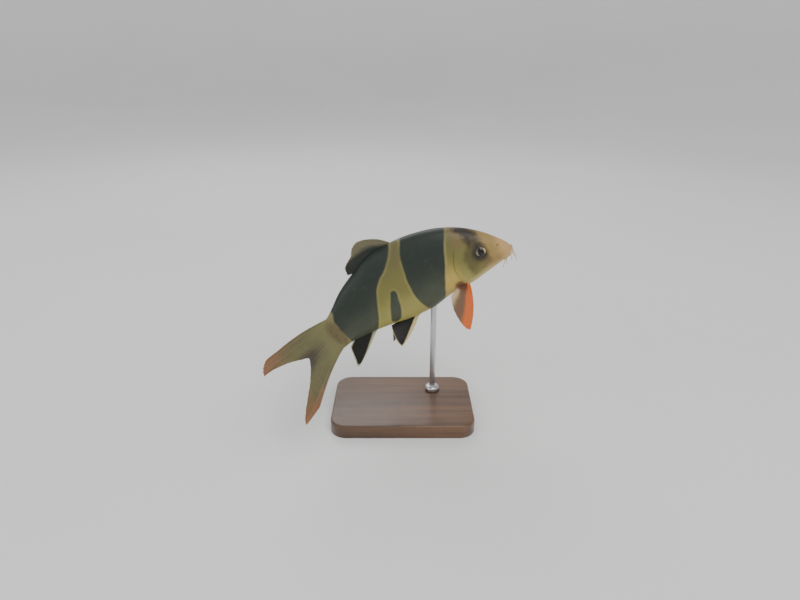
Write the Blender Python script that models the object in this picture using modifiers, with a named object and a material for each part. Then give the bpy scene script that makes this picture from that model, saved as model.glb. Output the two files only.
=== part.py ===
"""A clown loach at life size, turning upwards, held by a rod on a plain display stand.

The fish is first modelled straight, facing +X with its left side towards +Y, then every mesh is
bent along one spine and tilted into its swimming pose. Stations count from 0 at the snout to 1 at
the root of the tail fin, and lengths called shares are parts of BODY_LENGTH.
"""
import math
from bisect import bisect_right

import bmesh
import bpy
from mathutils import Matrix, Vector
from mathutils.bvhtree import BVHTree

# Driving sizes, in metres and degrees
BODY_LENGTH = 0.150
JOIN_GAP = 0.0003
FIN_MEMBRANE = 0.0005
BASE_SIZE = (0.104, 0.072, 0.010)
BASE_CORNER = 0.012
BASE_EDGE = 0.0015
ROD_RADIUS = 0.0022
ROD_STATION = 0.46
COLLAR_RADIUS = 0.0055
COLLAR_HEIGHT = 0.004

# Swimming pose
PITCH = math.radians(25.5)
ROLL = math.radians(5.0)
YAW = math.radians(1.0)
HEAD_BEND = math.radians(9.0)
TRUNK_BEND = math.radians(36.0)
TAIL_BEND = math.radians(17.0)
MID_BODY = Vector((0.006, 0.012, 0.103))

# Where the body is parted, and how its two ends are rounded, in shares
TAIL_LINE = 0.86
NOSE_LENGTH = 0.030
TAIL_END = 0.030

# Outline of the body: station and height above the axis, or half width
BACK = [(0.0, -0.036), (0.05, 0.022), (0.11, 0.081), (0.19, 0.137), (0.29, 0.180), (0.40, 0.204),
        (0.50, 0.211), (0.60, 0.211), (0.72, 0.180), (0.84, 0.140), (0.93, 0.095), (1.0, 0.073)]
BELLY = [(0.0, -0.073), (0.06, -0.091), (0.14, -0.114), (0.24, -0.139), (0.35, -0.152), (0.48, -0.183),
         (0.58, -0.180), (0.70, -0.149), (0.80, -0.119), (0.90, -0.093), (1.0, -0.085)]
HALF_WIDTH = [(0.0, 0.026), (0.05, 0.042), (0.11, 0.058), (0.19, 0.073), (0.30, 0.084), (0.42, 0.087),
              (0.55, 0.080), (0.68, 0.062), (0.80, 0.042), (0.90, 0.026), (1.0, 0.012)]
WIDEST_LEVEL = [(0.0, -0.056), (0.05, -0.044), (0.10, -0.033), (0.20, -0.022), (0.35, -0.015),
                (0.50, -0.010), (0.75, 0.0), (1, 0.0)]

# Rear edge of the gill cover: station and height, from the nape to the throat
GILL_EDGE = [(0.205, 0.30), (0.236, 0.112), (0.251, 0.070), (0.269, 0.030), (0.279, -0.012),
             (0.277, -0.054), (0.260, -0.092), (0.228, -0.130), (0.190, -0.30)]


def smooth_through(points):
    """A function that runs smoothly through (station, value) points, flat beyond the last."""
    stations = [p[0] for p in points]
    values = [p[1] for p in points]
    steps = [(values[i + 1] - values[i]) / (stations[i + 1] - stations[i])
             for i in range(len(points) - 1)]
    slopes = [steps[0]]
    slopes += [(a + b) / 2 if a * b > 0 else 0.0 for a, b in zip(steps, steps[1:])]
    slopes += [steps[-1]]

    def value(station):
        if station <= stations[0]:
            return values[0]
        if station >= stations[-1]:
            return values[-1]
        i = bisect_right(stations, station) - 1
        width = stations[i + 1] - stations[i]
        s = (station - stations[i]) / width
        rise = values[i + 1] - values[i]
        pull = slopes[i] * width * s * (1 - s) ** 2 - slopes[i + 1] * width * s * s * (1 - s)
        return values[i] + rise * s * s * (3 - 2 * s) + pull

    return value


back = smooth_through(BACK)
belly = smooth_through(BELLY)
half_width = smooth_through(HALF_WIDTH)
widest_level = smooth_through(WIDEST_LEVEL)


def unit(*parts):
    return Vector(parts).normalized()


def ramp(value):
    return min(1.0, max(0.0, value))


# Shape of the straight body

def end_rounding(station):
    """1 along the body, falling as a quarter circle to 0 at the snout and at the tail's end."""
    ahead = 1 - ramp(station / NOSE_LENGTH)
    behind = 1 - ramp((1 - station) / TAIL_END)
    return math.sqrt(max(0.0, 1 - max(ahead, behind) ** 2))


def fullness(station):
    """How square a section is: 2 is an ellipse. The belly region is a little fuller."""
    return 2.0 + 0.25 * ramp(station / 0.3) * ramp((1.0 - station) / 0.4)


def skin(station, angle):
    """A point of the straight body's skin. Angle 0 is the back, a quarter turn the left side."""
    full = 2 / fullness(station)
    swell = end_rounding(station)
    level = widest_level(station)
    up, out = math.cos(angle), math.sin(angle)
    height = (back(station) - level) if up > 0 else (level - belly(station))
    y = half_width(station) * swell * math.copysign(abs(out) ** full, out)
    z = level + height * swell * math.copysign(abs(up) ** full, up)
    return Vector((0.5 - station, y, z)) * BODY_LENGTH


def angle_at_height(station, height):
    """The angle on the left side where the skin is at this height, in shares."""
    level = widest_level(station)
    reach = (back(station) - level) if height > level else (level - belly(station))
    share = ramp(abs(height - level) / (reach * end_rounding(station)))
    up = math.copysign(share ** (fullness(station) / 2), height - level)
    return math.acos(up)


def side_seat(station, height, side):
    """A point on the side of the body, with the directions out of, along and up the skin there."""
    angle = angle_at_height(station, height)
    here = skin(station, angle)
    along = (skin(station - 0.01, angle) - skin(station + 0.01, angle)).normalized()
    up = (skin(station, angle - 0.05) - skin(station, angle + 0.05)).normalized()
    out = along.cross(up).normalized()
    if out.y < 0:
        out = -out
    up = (up - out * up.dot(out)).normalized()
    mirror = Vector((1, side, 1))
    return here * mirror, out * mirror, along * mirror, up * mirror


def belly_seat(station, across):
    """A point on the underside, this far to the left in shares, and the skin's outward direction."""
    reach = half_width(station) * end_rounding(station)
    out = ramp(abs(across) / reach) ** (fullness(station) / 2)
    angle = math.pi - math.asin(min(out, 0.999))
    if across < 0:
        angle = -angle
    here = skin(station, angle)
    along = skin(station - 0.004, angle) - skin(station + 0.004, angle)
    around = skin(station, angle - 0.05) - skin(station, angle + 0.05)
    normal = along.cross(around).normalized()
    if normal.z > 0:
        normal = -normal
    return here, normal


# The pose

def turn_at(station):
    """How far the spine has turned to the fish's right on the way from mid-body to this station."""
    trunk = TRUNK_BEND * ramp((station - 0.45) / 0.35)
    tail = TAIL_BEND * ramp((station - 0.80) / 0.35)
    head = HEAD_BEND * ramp((0.45 - station) / 0.45)
    return trunk + tail - head


SPINE_STEP = 0.005
SPINE_AHEAD = 140
SPINE_BEHIND = 220


def spine_path():
    """Places of the bent spine, in shares, for steps from ahead of the snout to past the tail."""
    places = {0: (0.0, 0.0)}
    for sign, count in ((1, SPINE_BEHIND), (-1, SPINE_AHEAD)):
        x, y = 0.0, 0.0
        for i in range(count):
            turn = turn_at(0.5 + sign * (i + 0.5) * SPINE_STEP)
            x -= sign * math.cos(turn) * SPINE_STEP
            y -= sign * math.sin(turn) * SPINE_STEP
            places[sign * (i + 1)] = (x, y)
    return places


SPINE = spine_path()
TILT = Matrix.Rotation(YAW, 3, "Z") @ Matrix.Rotation(-PITCH, 3, "Y") @ Matrix.Rotation(ROLL, 3, "X")


def posed(point):
    """A point of the straight fish, in its place in the pose."""
    station = 0.5 - point.x / BODY_LENGTH
    steps = (station - 0.5) / SPINE_STEP
    low = math.floor(steps)
    share = steps - low
    x = SPINE[low][0] * (1 - share) + SPINE[low + 1][0] * share
    y = SPINE[low][1] * (1 - share) + SPINE[low + 1][1] * share
    turn = turn_at(station)
    bent = Vector((x * BODY_LENGTH - point.y * math.sin(turn),
                   y * BODY_LENGTH + point.y * math.cos(turn),
                   point.z))
    return MID_BODY + TILT @ bent


# Working with objects

def clear_scene():
    for obj in list(bpy.data.objects):
        bpy.data.objects.remove(obj, do_unlink=True)


def new_collection(name):
    made = bpy.data.collections.new(name)
    bpy.context.scene.collection.children.link(made)
    return made


def from_bmesh(name, shape, collection):
    mesh = bpy.data.meshes.new(name)
    shape.to_mesh(mesh)
    shape.free()
    obj = bpy.data.objects.new(name, mesh)
    collection.objects.link(obj)
    return obj


def evaluated_mesh(obj):
    bpy.context.view_layer.update()
    graph = bpy.context.evaluated_depsgraph_get()
    return bpy.data.meshes.new_from_object(obj.evaluated_get(graph))


def bake_modifiers(obj):
    """The object's mesh becomes what its modifiers make of it."""
    made = evaluated_mesh(obj)
    obj.modifiers.clear()
    obj.data = made


def keep_largest(obj):
    """Drops every closed surface of the mesh but the largest."""
    shape = bmesh.new()
    shape.from_mesh(obj.data)
    left = set(shape.verts)
    islands = []
    while left:
        island = {left.pop()}
        edge_of_growth = list(island)
        while edge_of_growth:
            vert = edge_of_growth.pop()
            near = {e.other_vert(vert) for e in vert.link_edges} - island
            island |= near
            edge_of_growth += list(near)
        left -= island
        islands.append(island)

    def extent(island):
        low = Vector(min(v.co[i] for v in island) for i in range(3))
        high = Vector(max(v.co[i] for v in island) for i in range(3))
        return (high - low).length

    islands.sort(key=extent)
    for island in islands[:-1]:
        bmesh.ops.delete(shape, geom=list(island), context="VERTS")
    shape.to_mesh(obj.data)
    shape.free()


def carve(obj, cutter, operation="DIFFERENCE"):
    cut = obj.modifiers.new("cut", "BOOLEAN")
    cut.operation = operation
    cut.solver = "EXACT"
    cut.object = cutter
    bake_modifiers(obj)


def fuse(obj, pieces):
    """Joins closed pieces to the object with one union, then removes them."""
    group = bpy.data.collections.new("pieces")
    for piece in pieces:
        group.objects.link(piece)
    join = obj.modifiers.new("join", "BOOLEAN")
    join.operation = "UNION"
    join.solver = "EXACT"
    join.operand_type = "COLLECTION"
    join.collection = group
    bake_modifiers(obj)
    for piece in pieces:
        bpy.data.objects.remove(piece, do_unlink=True)
    bpy.data.collections.remove(group)
    keep_largest(obj)


def inflated(source, name, by):
    """A copy of a closed object grown outwards, for use as a cutter."""
    made = bpy.data.objects.new(name, source.data.copy())
    cutters.objects.link(made)
    shape = bmesh.new()
    shape.from_mesh(made.data)
    shape.normal_update()
    for vert in shape.verts:
        vert.co += vert.normal * by
    shape.to_mesh(made.data)
    shape.free()
    return made


def pose_mesh(obj):
    for vert in obj.data.vertices:
        vert.co = posed(vert.co)
    obj.data.update()


def tube(name, points, radii, sides=2):
    """A round tube through points, closed at both ends, as a mesh object among the cutters."""
    data = bpy.data.curves.new(name, "CURVE")
    data.dimensions = "3D"
    data.bevel_depth = 1.0
    data.bevel_resolution = sides
    data.use_fill_caps = True
    spline = data.splines.new("POLY")
    spline.points.add(len(points) - 1)
    for spot, point, radius in zip(spline.points, points, radii):
        spot.co = (*point, 1)
        spot.radius = radius
    guide = bpy.data.objects.new(name + "_line", data)
    cutters.objects.link(guide)
    mesh = evaluated_mesh(guide)
    bpy.data.objects.remove(guide, do_unlink=True)
    shape = bmesh.new()
    shape.from_mesh(mesh)
    bmesh.ops.remove_doubles(shape, verts=shape.verts, dist=0.00001)
    bmesh.ops.recalc_face_normals(shape, faces=shape.faces)
    return from_bmesh(name, shape, cutters)


def ball(name, centre, axes, radii, segments=20, rings=12):
    """An ellipsoid whose three axes and radii are given."""
    shape = bmesh.new()
    bmesh.ops.create_uvsphere(shape, u_segments=segments, v_segments=rings, radius=1.0)
    turn = Matrix([[axes[c][r] * radii[c] for c in range(3)] for r in range(3)]).to_4x4()
    bmesh.ops.transform(shape, matrix=Matrix.Translation(centre) @ turn, verts=shape.verts)
    bmesh.ops.recalc_face_normals(shape, faces=shape.faces)
    return from_bmesh(name, shape, cutters)


def ring(name, centre, axis, radius, thickness, segments=24, sides=8):
    """A torus round an axis."""
    around = axis.orthogonal().normalized()
    other = axis.cross(around)
    shape = bmesh.new()
    loops = []
    for i in range(segments):
        turn = 2 * math.pi * i / segments
        spoke = around * math.cos(turn) + other * math.sin(turn)
        loops.append([shape.verts.new(centre + spoke * (radius + thickness * math.cos(a)) +
                                      axis * thickness * math.sin(a))
                      for a in (2 * math.pi * k / sides for k in range(sides))])
    for i, loop in enumerate(loops):
        following = loops[(i + 1) % segments]
        for k in range(sides):
            after = (k + 1) % sides
            shape.faces.new((loop[k], loop[after], following[after], following[k]))
    bmesh.ops.recalc_face_normals(shape, faces=shape.faces)
    return from_bmesh(name, shape, cutters)


def paint(obj, name, colour, roughness, metallic=0.0):
    material = bpy.data.materials.get(name) or bpy.data.materials.new(name)
    material.use_nodes = True
    shader = material.node_tree.nodes["Principled BSDF"]
    shader.inputs["Base Color"].default_value = (*colour, 1)
    shader.inputs["Roughness"].default_value = roughness
    shader.inputs["Metallic"].default_value = metallic
    obj.data.materials.clear()
    obj.data.materials.append(material)
    obj.data.shade_smooth()
    obj.data.set_sharp_from_angle(angle=math.radians(40))


SKIN_YELLOW = (0.42, 0.34, 0.12)
SKIN_DARK = (0.045, 0.05, 0.04)
SKIN_HEAD = (0.36, 0.25, 0.13)
FIN_ORANGE = (0.72, 0.16, 0.06)
FIN_PALE = (0.52, 0.40, 0.20)
BARBEL_PINK = (0.62, 0.45, 0.36)
EYE_SILVER = (0.30, 0.29, 0.22)
WOOD_BROWN = (0.10, 0.05, 0.025)
STEEL_GREY = (0.60, 0.60, 0.61)


# Body

NOSE_RINGS = 5
HEAD_RINGS = 18
TRUNK_RINGS = 22
TAIL_RINGS = 6
END_RINGS = 4
RING_POINTS = 36
HEAD_LENGTH = 0.27
BLOCK_AHEAD = 0.75
BLOCK_HALF_WIDTH = 0.2
BLOCK_HALF_HEIGHT = 0.3
GILL_EDGE_STEPS = 24


def ring_stations():
    """The stations of the body's rings, close together at the snout and at the tail's end."""
    quarter = math.pi / 2
    nose = [NOSE_LENGTH * (1 - math.cos(quarter * i / NOSE_RINGS)) for i in range(NOSE_RINGS)]
    head = [NOSE_LENGTH + (HEAD_LENGTH - NOSE_LENGTH) * i / HEAD_RINGS for i in range(HEAD_RINGS)]
    trunk = [HEAD_LENGTH + (TAIL_LINE - HEAD_LENGTH) * i / TRUNK_RINGS for i in range(TRUNK_RINGS)]
    tail = [TAIL_LINE + (1 - TAIL_END - TAIL_LINE) * i / TAIL_RINGS for i in range(TAIL_RINGS)]
    end = [1 - TAIL_END + TAIL_END * math.sin(quarter * i / END_RINGS) for i in range(END_RINGS + 1)]
    return nose + head + trunk + tail + end


def make_body():
    """The whole straight body: a ball whose rings become the body's sections."""
    stations = ring_stations()
    shape = bmesh.new()
    bmesh.ops.create_uvsphere(shape, u_segments=RING_POINTS, v_segments=len(stations) - 1, radius=1.0)
    for vert in shape.verts:
        slope = math.acos(max(-1.0, min(1.0, vert.co.z)))
        station = stations[round(slope / math.pi * (len(stations) - 1))]
        angle = math.atan2(vert.co.y, vert.co.x)
        vert.co = skin(station, angle)
    bmesh.ops.recalc_face_normals(shape, faces=shape.faces)
    return from_bmesh("body", shape, cutters)


def block_ahead_of(edge, name, shift):
    """A block that holds all ahead of an edge line drawn in the side view."""
    line = [Vector((0.5 - station, 0, height)) * BODY_LENGTH for station, height in edge]
    runs = [line[min(i + 1, len(line) - 1)] - line[max(i - 1, 0)] for i in range(len(line))]
    line = [p + Vector((run.z, 0, -run.x)).normalized() * shift for p, run in zip(line, runs)]
    corners = [Vector((BLOCK_AHEAD, 0, edge[end][1])) * BODY_LENGTH for end in (-1, 0)]
    shape = bmesh.new()
    loops = []
    for side in (-1, 1):
        over = Vector((0, side * BLOCK_HALF_WIDTH * BODY_LENGTH, 0))
        loops.append([shape.verts.new(p + over) for p in line + corners])
    near, far = loops
    shape.faces.new(near)
    shape.faces.new(reversed(far))
    for i in range(len(near)):
        j = (i + 1) % len(near)
        shape.faces.new((near[i], far[i], far[j], near[j]))
    bmesh.ops.recalc_face_normals(shape, faces=shape.faces)
    return from_bmesh(name, shape, cutters)


def part_body(body):
    """Head, trunk and tail, parted by two thin cuts."""
    gill_line = smooth_edge(GILL_EDGE, GILL_EDGE_STEPS)
    tail_line = [(TAIL_LINE, BLOCK_HALF_HEIGHT), (TAIL_LINE, -BLOCK_HALF_HEIGHT)]
    bounds = {"head": (gill_line, None), "trunk": (tail_line, gill_line), "tail": (None, tail_line)}
    pieces = []
    for name, (ahead_of, behind) in bounds.items():
        piece = bpy.data.objects.new(name, body.data.copy())
        loach.objects.link(piece)
        if ahead_of:
            block = block_ahead_of(ahead_of, "ahead", 0.0)
            carve(piece, block, "INTERSECT")
            bpy.data.objects.remove(block, do_unlink=True)
        if behind:
            block = block_ahead_of(behind, "behind", JOIN_GAP)
            carve(piece, block)
            bpy.data.objects.remove(block, do_unlink=True)
        keep_largest(piece)
        pieces.append(piece)
    return pieces


def smooth_edge(points, count):
    """The line through points resampled evenly, for a gill edge that is round and not cornered."""
    run = list(range(len(points)))
    station = smooth_through([(i, p[0]) for i, p in zip(run, points)])
    height = smooth_through([(i, p[1]) for i, p in zip(run, points)])
    last = run[-1]
    return [(station(last * k / count), height(last * k / count)) for k in range(count + 1)]


# Head details

EYE_STATION = 0.138
EYE_HEIGHT = 0.013
EYE_RADIUS = 0.0042
EYE_DEPTH = 0.0027
EYE_SINK = 0.0014
LID_RADIUS = 0.0040
LID_THICKNESS = 0.0008
LID_SINK = 0.00045

NOSTRIL_STATION = 0.055
NOSTRIL_HEIGHT = 0.004
NOSTRIL_RADIUS = 0.0009
NOSTRIL_RIM = 0.00045
NOSTRIL_SINK = 0.0001
NOSTRIL_DEPTH = 0.0012
NOSTRIL_FLAP = (0.0005, 0.0009, 0.0009)

# The mouth is a horseshoe: the station of its corners, how far ahead its front is, and its half width
MOUTH_SLIT = (0.047, 0.030, 0.0235)
UPPER_LIP = (0.044, 0.036, 0.024)
LOWER_LIP = (0.051, 0.026, 0.023)
MOUTH_STEPS = 12
LIP_RADIUS = 0.0008
LIP_SINK = 0.00028
SLIT_RADIUS = 0.00035


def mouth_line(horseshoe, sink):
    """Points of a horseshoe on the underside of the snout, open to the rear."""
    corner, depth, wide = horseshoe
    points = []
    for i in range(MOUTH_STEPS + 1):
        turn = math.pi * (i / MOUTH_STEPS - 0.5)
        here, normal = belly_seat(corner - depth * math.cos(turn), wide * math.sin(turn))
        points.append(here - normal * sink)
    return points


# How far the gill cover stands out, how far ahead that fades, and the heights where it ends
COVER_LIFT = 0.00045
COVER_LENGTH = 0.030
COVER_TOP = 0.09
COVER_FOOT = -0.125


def gill_edge_station(height):
    """The station of the gill cover's rear edge at this height."""
    for (s0, h0), (s1, h1) in zip(GILL_EDGE, GILL_EDGE[1:]):
        if h1 <= height <= h0:
            return s0 + (s1 - s0) * (h0 - height) / (h0 - h1)
    return GILL_EDGE[0][0]


def lift_gill_cover(head):
    """The gill covers stand out a little, most at their rear edge."""
    for vert in head.data.vertices:
        station = 0.5 - vert.co.x / BODY_LENGTH
        height = vert.co.z / BODY_LENGTH
        ahead = max(0.0, gill_edge_station(height) - station)
        window = ramp((COVER_TOP - height) / 0.05) * ramp((height - COVER_FOOT) / 0.03)
        side = vert.co.y / (half_width(station) * BODY_LENGTH)
        vert.co.y += COVER_LIFT * side * window * math.exp(-(ahead / COVER_LENGTH) ** 2)


def detail_head(head):
    """Adds lips, nostril rims and eye rims, then cuts the mouth, the nostrils and the eye sockets."""
    added, cuts = [], []
    swell = [LIP_RADIUS * (0.5 + 0.5 * math.sin(math.pi * i / MOUTH_STEPS)) for i in range(MOUTH_STEPS + 1)]
    added.append(tube("upper_lip", mouth_line(UPPER_LIP, LIP_SINK), swell))
    added.append(tube("lower_lip", mouth_line(LOWER_LIP, LIP_SINK), swell))
    cuts.append(tube("slit", mouth_line(MOUTH_SLIT, 0.0), [SLIT_RADIUS] * (MOUTH_STEPS + 1)))
    for side in (-1, 1):
        seat, out, along, up = side_seat(NOSTRIL_STATION, NOSTRIL_HEIGHT, side)
        rim_seat = seat - out * NOSTRIL_SINK
        added.append(ring("nostril_rim", rim_seat, out, NOSTRIL_RADIUS, NOSTRIL_RIM, 14, 6))
        flap_seat = seat - along * NOSTRIL_RADIUS * 1.3
        added.append(ball("nostril_flap", flap_seat, (along, up, out), NOSTRIL_FLAP, 10, 6))
        pit = NOSTRIL_RADIUS * 0.6
        cuts.append(ball("nostril_pit", seat, (along, up, out), (pit, pit, NOSTRIL_DEPTH), 10, 6))
        seat, out, along, up = side_seat(EYE_STATION, EYE_HEIGHT, side)
        added.append(ring("eye_rim", seat - out * LID_SINK, out, LID_RADIUS, LID_THICKNESS, 28, 8))
        socket = [size + JOIN_GAP for size in (EYE_RADIUS, EYE_RADIUS, EYE_DEPTH)]
        cuts.append(ball("socket", seat - out * EYE_SINK, (along, up, out), socket, 28, 14))
    fuse(head, added)
    for cutter in cuts:
        carve(head, cutter)
        bpy.data.objects.remove(cutter, do_unlink=True)
    keep_largest(head)


def make_eye(name, side):
    seat, out, along, up = side_seat(EYE_STATION, EYE_HEIGHT, side)
    eye = ball(name, seat - out * EYE_SINK, (along, up, out), (EYE_RADIUS, EYE_RADIUS, EYE_DEPTH), 24, 12)
    cutters.objects.unlink(eye)
    loach.objects.link(eye)
    paint(eye, "eye", EYE_SILVER, 0.15)
    return eye


# Barbels: station, share to the side, height share or None for the underside, first direction
# (ahead, out, down), length and droop

BARBEL_ROOT = 0.00060
BARBEL_TIP = 0.00022
BARBEL_POINTS = 12
BARBEL_PULL = Vector((-0.35, 0, -1))
BARBELS = {
    "barbel_rostral_inner": (0.0060, 0.008, -0.044, (0.05, 0.20, 0.97), 0.080, 0.02),
    "barbel_rostral_outer": (0.0120, 0.017, -0.052, (-0.20, 0.60, 0.80), 0.060, 0.05),
    "barbel_maxillary": (0.0480, 0.026, None, (-0.60, 0.35, 0.75), 0.055, 0.10),
    "barbel_mandibular": (0.0460, 0.010, None, (-0.20, 0.25, 0.95), 0.034, 0.08),
}


def make_barbel(name, side, spec, cutter):
    """A feeler that leaves the snout and droops, rooted in the head and cut free of it."""
    station, across, height, first, length, droop = spec
    if height is None:
        root, _ = belly_seat(station, across * side)
    else:
        root = Vector((0.5 - station, across * side, height)) * BODY_LENGTH
    heading = Vector((first[0], first[1] * side, -first[2])).normalized()
    step = length * BODY_LENGTH / (BARBEL_POINTS - 1)
    points = [root - heading * step * 0.6]
    for _ in range(BARBEL_POINTS - 1):
        points.append(points[-1] + heading * step)
        heading = (heading + BARBEL_PULL * droop * 0.5).normalized()
    radii = [BARBEL_ROOT + (BARBEL_TIP - BARBEL_ROOT) * i / (BARBEL_POINTS - 1)
             for i in range(BARBEL_POINTS)]
    barbel = tube(name, points, radii)
    carve(barbel, cutter)
    keep_largest(barbel)
    cutters.objects.unlink(barbel)
    loach.objects.link(barbel)
    paint(barbel, "barbel", BARBEL_PINK, 0.45)
    return barbel


# Fins: a fan of rays between two root points

RAY_THICKNESS = 0.0010
FIN_TIP_THICKNESS = 0.00035
EDGE_NOTCH = 0.03

# Key rays: share along the root, angle from straight back and length in shares
DORSAL_RAYS = [(0, 57, 0.100), (0.1, 57, 0.125), (0.2, 56, 0.140), (0.3, 54, 0.145), (0.4, 47, 0.140),
               (0.55, 39, 0.115), (0.75, 33, 0.105), (0.9, 32, 0.090), (1, 20, 0.065)]
ANAL_RAYS = [(0, -36, 0.200), (0.15, -37, 0.208), (0.3, -37, 0.200), (0.5, -37, 0.170), (0.75, -32, 0.118),
             (1, -23, 0.065)]
UPPER_LOBE = [(0, 18, 0.370), (0.07, 18, 0.410), (0.14, 16, 0.435), (0.22, 12, 0.440), (0.4, 13, 0.380),
              (0.65, 12, 0.290), (0.85, 9, 0.225), (1, 5, 0.180)]
LOWER_LOBE = [(0, -18, 0.355), (0.07, -18, 0.390), (0.15, -17.5, 0.425), (0.3, -15, 0.370),
              (0.5, -12, 0.300), (0.7, -9, 0.245), (0.87, -4, 0.205), (1, 3, 0.180)]
PECTORAL_RAYS = [(0, 15, 0.245), (0.2, 8, 0.235), (0.5, -7, 0.185), (0.75, -23, 0.132), (1, -34, 0.096)]
PELVIC_RAYS = [(0, 4, 0.200), (0.33, -6, 0.190), (0.66, -21, 0.165), (1, -38, 0.140)]

# How far a fin's rays curve towards its first edge on their way out, in degrees
DORSAL_BOW, ANAL_BOW, TAIL_BOW, PECTORAL_BOW, PELVIC_BOW = -20, 16, -5, -40, -34

# Roots of the middle fins: stations, and how far the root is sunk in the back or the belly
DORSAL_FRONT, DORSAL_REAR, DORSAL_SINK = 0.490, 0.695, 0.025
ANAL_FRONT, ANAL_REAR, ANAL_SINK = 0.742, 0.870, 0.020
TAIL_ROOT, TAIL_ROOT_LEAD = 0.974, 0.050
TAIL_ROOT_HEIGHT, TAIL_ROOT_SPLIT = 0.071, 0.002

# Paired fins: root place, root width, depth of the cupped blade, and how far the root is sunk
PECTORAL_STATION, PECTORAL_HEIGHT, PECTORAL_WIDTH, PECTORAL_CUP = 0.264, -0.104, 0.030, 0.012
PELVIC_STATION, PELVIC_ACROSS, PELVIC_WIDTH, PELVIC_CUP = 0.560, 0.030, 0.022, 0.008
PAIRED_SINK = 0.018

# The way each paired fin's rays point, and the way to its first ray
PECTORAL_WAYS = {"right": (unit(-0.063, -0.100, -0.194), unit(1, 0.1, -0.2)),
                 "left": (unit(-0.17, 0.12, -0.09), unit(0.4, 0.8, -0.1))}
PELVIC_WAYS = {"right": (unit(-0.120, -0.050, -0.088), unit(0.5, -0.5, -0.6)),
               "left": (unit(-0.105, 0.036, -0.100), unit(0.5, 0.5, -0.6))}


def fan_sheet(name, place, rays, key_rays, segments, bow):
    """A thin fin whose rays are ridges. place(share, back, up, out) gives a point of the fish."""
    angle_of = smooth_through([(k[0], math.radians(k[1])) for k in key_rays])
    length_of = smooth_through([(k[0], k[2]) for k in key_rays])
    columns = 2 * rays - 1
    shape = bmesh.new()
    bmesh.ops.create_grid(shape, x_segments=columns - 1, y_segments=segments, size=0.5)
    crest = {}
    for vert in shape.verts:
        column = round((vert.co.x + 0.5) * (columns - 1))
        v = vert.co.y + 0.5
        share = column / (columns - 1)
        on_ray = column % 2 == 0
        reach = length_of(share) * v * (1 if on_ray else 1 - EDGE_NOTCH * v)
        angle = angle_of(share) + math.radians(bow) * (1 - 0.7 * share) * v / 2
        vert.co = place(share, reach * math.cos(angle), reach * math.sin(angle), v)
        thick = RAY_THICKNESS * (1 - 0.55 * v) if on_ray else FIN_MEMBRANE * (1 - 0.25 * v ** 3)
        crest[vert.index] = max(thick, FIN_TIP_THICKNESS) / RAY_THICKNESS
    bmesh.ops.triangulate(shape, faces=shape.faces, quad_method="FIXED")
    fin = from_bmesh(name, shape, loach)
    group = fin.vertex_groups.new(name="crest")
    for index, weight in crest.items():
        group.add([index], weight, "REPLACE")
    wall = fin.modifiers.new("wall", "SOLIDIFY")
    wall.thickness = RAY_THICKNESS
    wall.offset = 0
    wall.vertex_group = "crest"
    wall.use_even_offset = False
    bake_modifiers(fin)
    return fin


def finish_fin(fin, material, colour, cutter):
    """Faces the fin outwards, cuts it free of the body and paints it."""
    flip_faces(fin)
    carve(fin, cutter)
    keep_largest(fin)
    paint(fin, material, colour, 0.5)
    return fin


def middle_fin(name, root_line, sway, **shape):
    """A fin on the fish's middle plane. root_line(share) is in shares; sway bends it sideways."""
    def place(share, back_by, up_by, v):
        ahead, height = root_line(share)
        return Vector((ahead - back_by, sway(share, v), height + up_by)) * BODY_LENGTH
    return fan_sheet(name, place, **shape)


def paired_fin(name, seat, way, root_width, cup, **shape):
    """A fin on one side. way holds the directions along its rays and towards its first ray."""
    along, lead = way
    normal = along.cross(lead).normalized()
    across = normal.cross(along).normalized()
    root = seat - along * PAIRED_SINK * BODY_LENGTH

    def place(share, back_by, up_by, v):
        lift = cup * v * v * math.sin(math.pi * share)
        across_by = (0.5 - share) * root_width + up_by
        return root + (across * across_by + along * back_by + normal * lift) * BODY_LENGTH
    return fan_sheet(name, place, **shape)


def dorsal_root(share):
    station = DORSAL_FRONT + (DORSAL_REAR - DORSAL_FRONT) * share
    return 0.5 - station, back(station) - DORSAL_SINK


def dorsal_sway(share, v):
    return 0.012 * v * math.sin(2.4 * share + 0.4)


def anal_root(share):
    station = ANAL_FRONT + (ANAL_REAR - ANAL_FRONT) * share
    return 0.5 - station, belly(station) + ANAL_SINK


def anal_sway(share, v):
    return -0.008 * v * math.sin(2.0 * share)


def tail_root(side, share):
    """The tail fin's outer rays start further forward, along the edges of the tail's root."""
    station = TAIL_ROOT - TAIL_ROOT_LEAD * (1 - ramp(share / 0.4)) ** 2
    height = TAIL_ROOT_SPLIT + (TAIL_ROOT_HEIGHT - TAIL_ROOT_SPLIT) * (1 - share)
    return 0.5 - station, side * height


def tail_sway(share, v):
    return -0.055 * v * v * (1 - 0.7 * share)


def make_dorsal(cutter):
    fin = middle_fin("dorsal_fin", dorsal_root, dorsal_sway, rays=12, key_rays=DORSAL_RAYS, segments=9,
                     bow=DORSAL_BOW)
    return finish_fin(fin, "fin_dark", SKIN_DARK, cutter)


def make_anal(cutter):
    fin = middle_fin("anal_fin", anal_root, anal_sway, rays=8, key_rays=ANAL_RAYS, segments=8,
                     bow=ANAL_BOW)
    return finish_fin(fin, "fin_dark", SKIN_DARK, cutter)


def make_tail_lobe(name, side, key_rays, cutter):
    """One lobe of the forked tail fin, side 1 the upper. Its rays run from the edge to the fork."""
    fin = middle_fin(name, lambda share: tail_root(side, share), tail_sway, rays=10, key_rays=key_rays,
                     segments=11, bow=side * TAIL_BOW)
    return finish_fin(fin, "fin_pale", FIN_PALE, cutter)


def flip_faces(obj):
    shape = bmesh.new()
    shape.from_mesh(obj.data)
    bmesh.ops.recalc_face_normals(shape, faces=shape.faces)
    shape.to_mesh(obj.data)
    shape.free()


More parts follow.
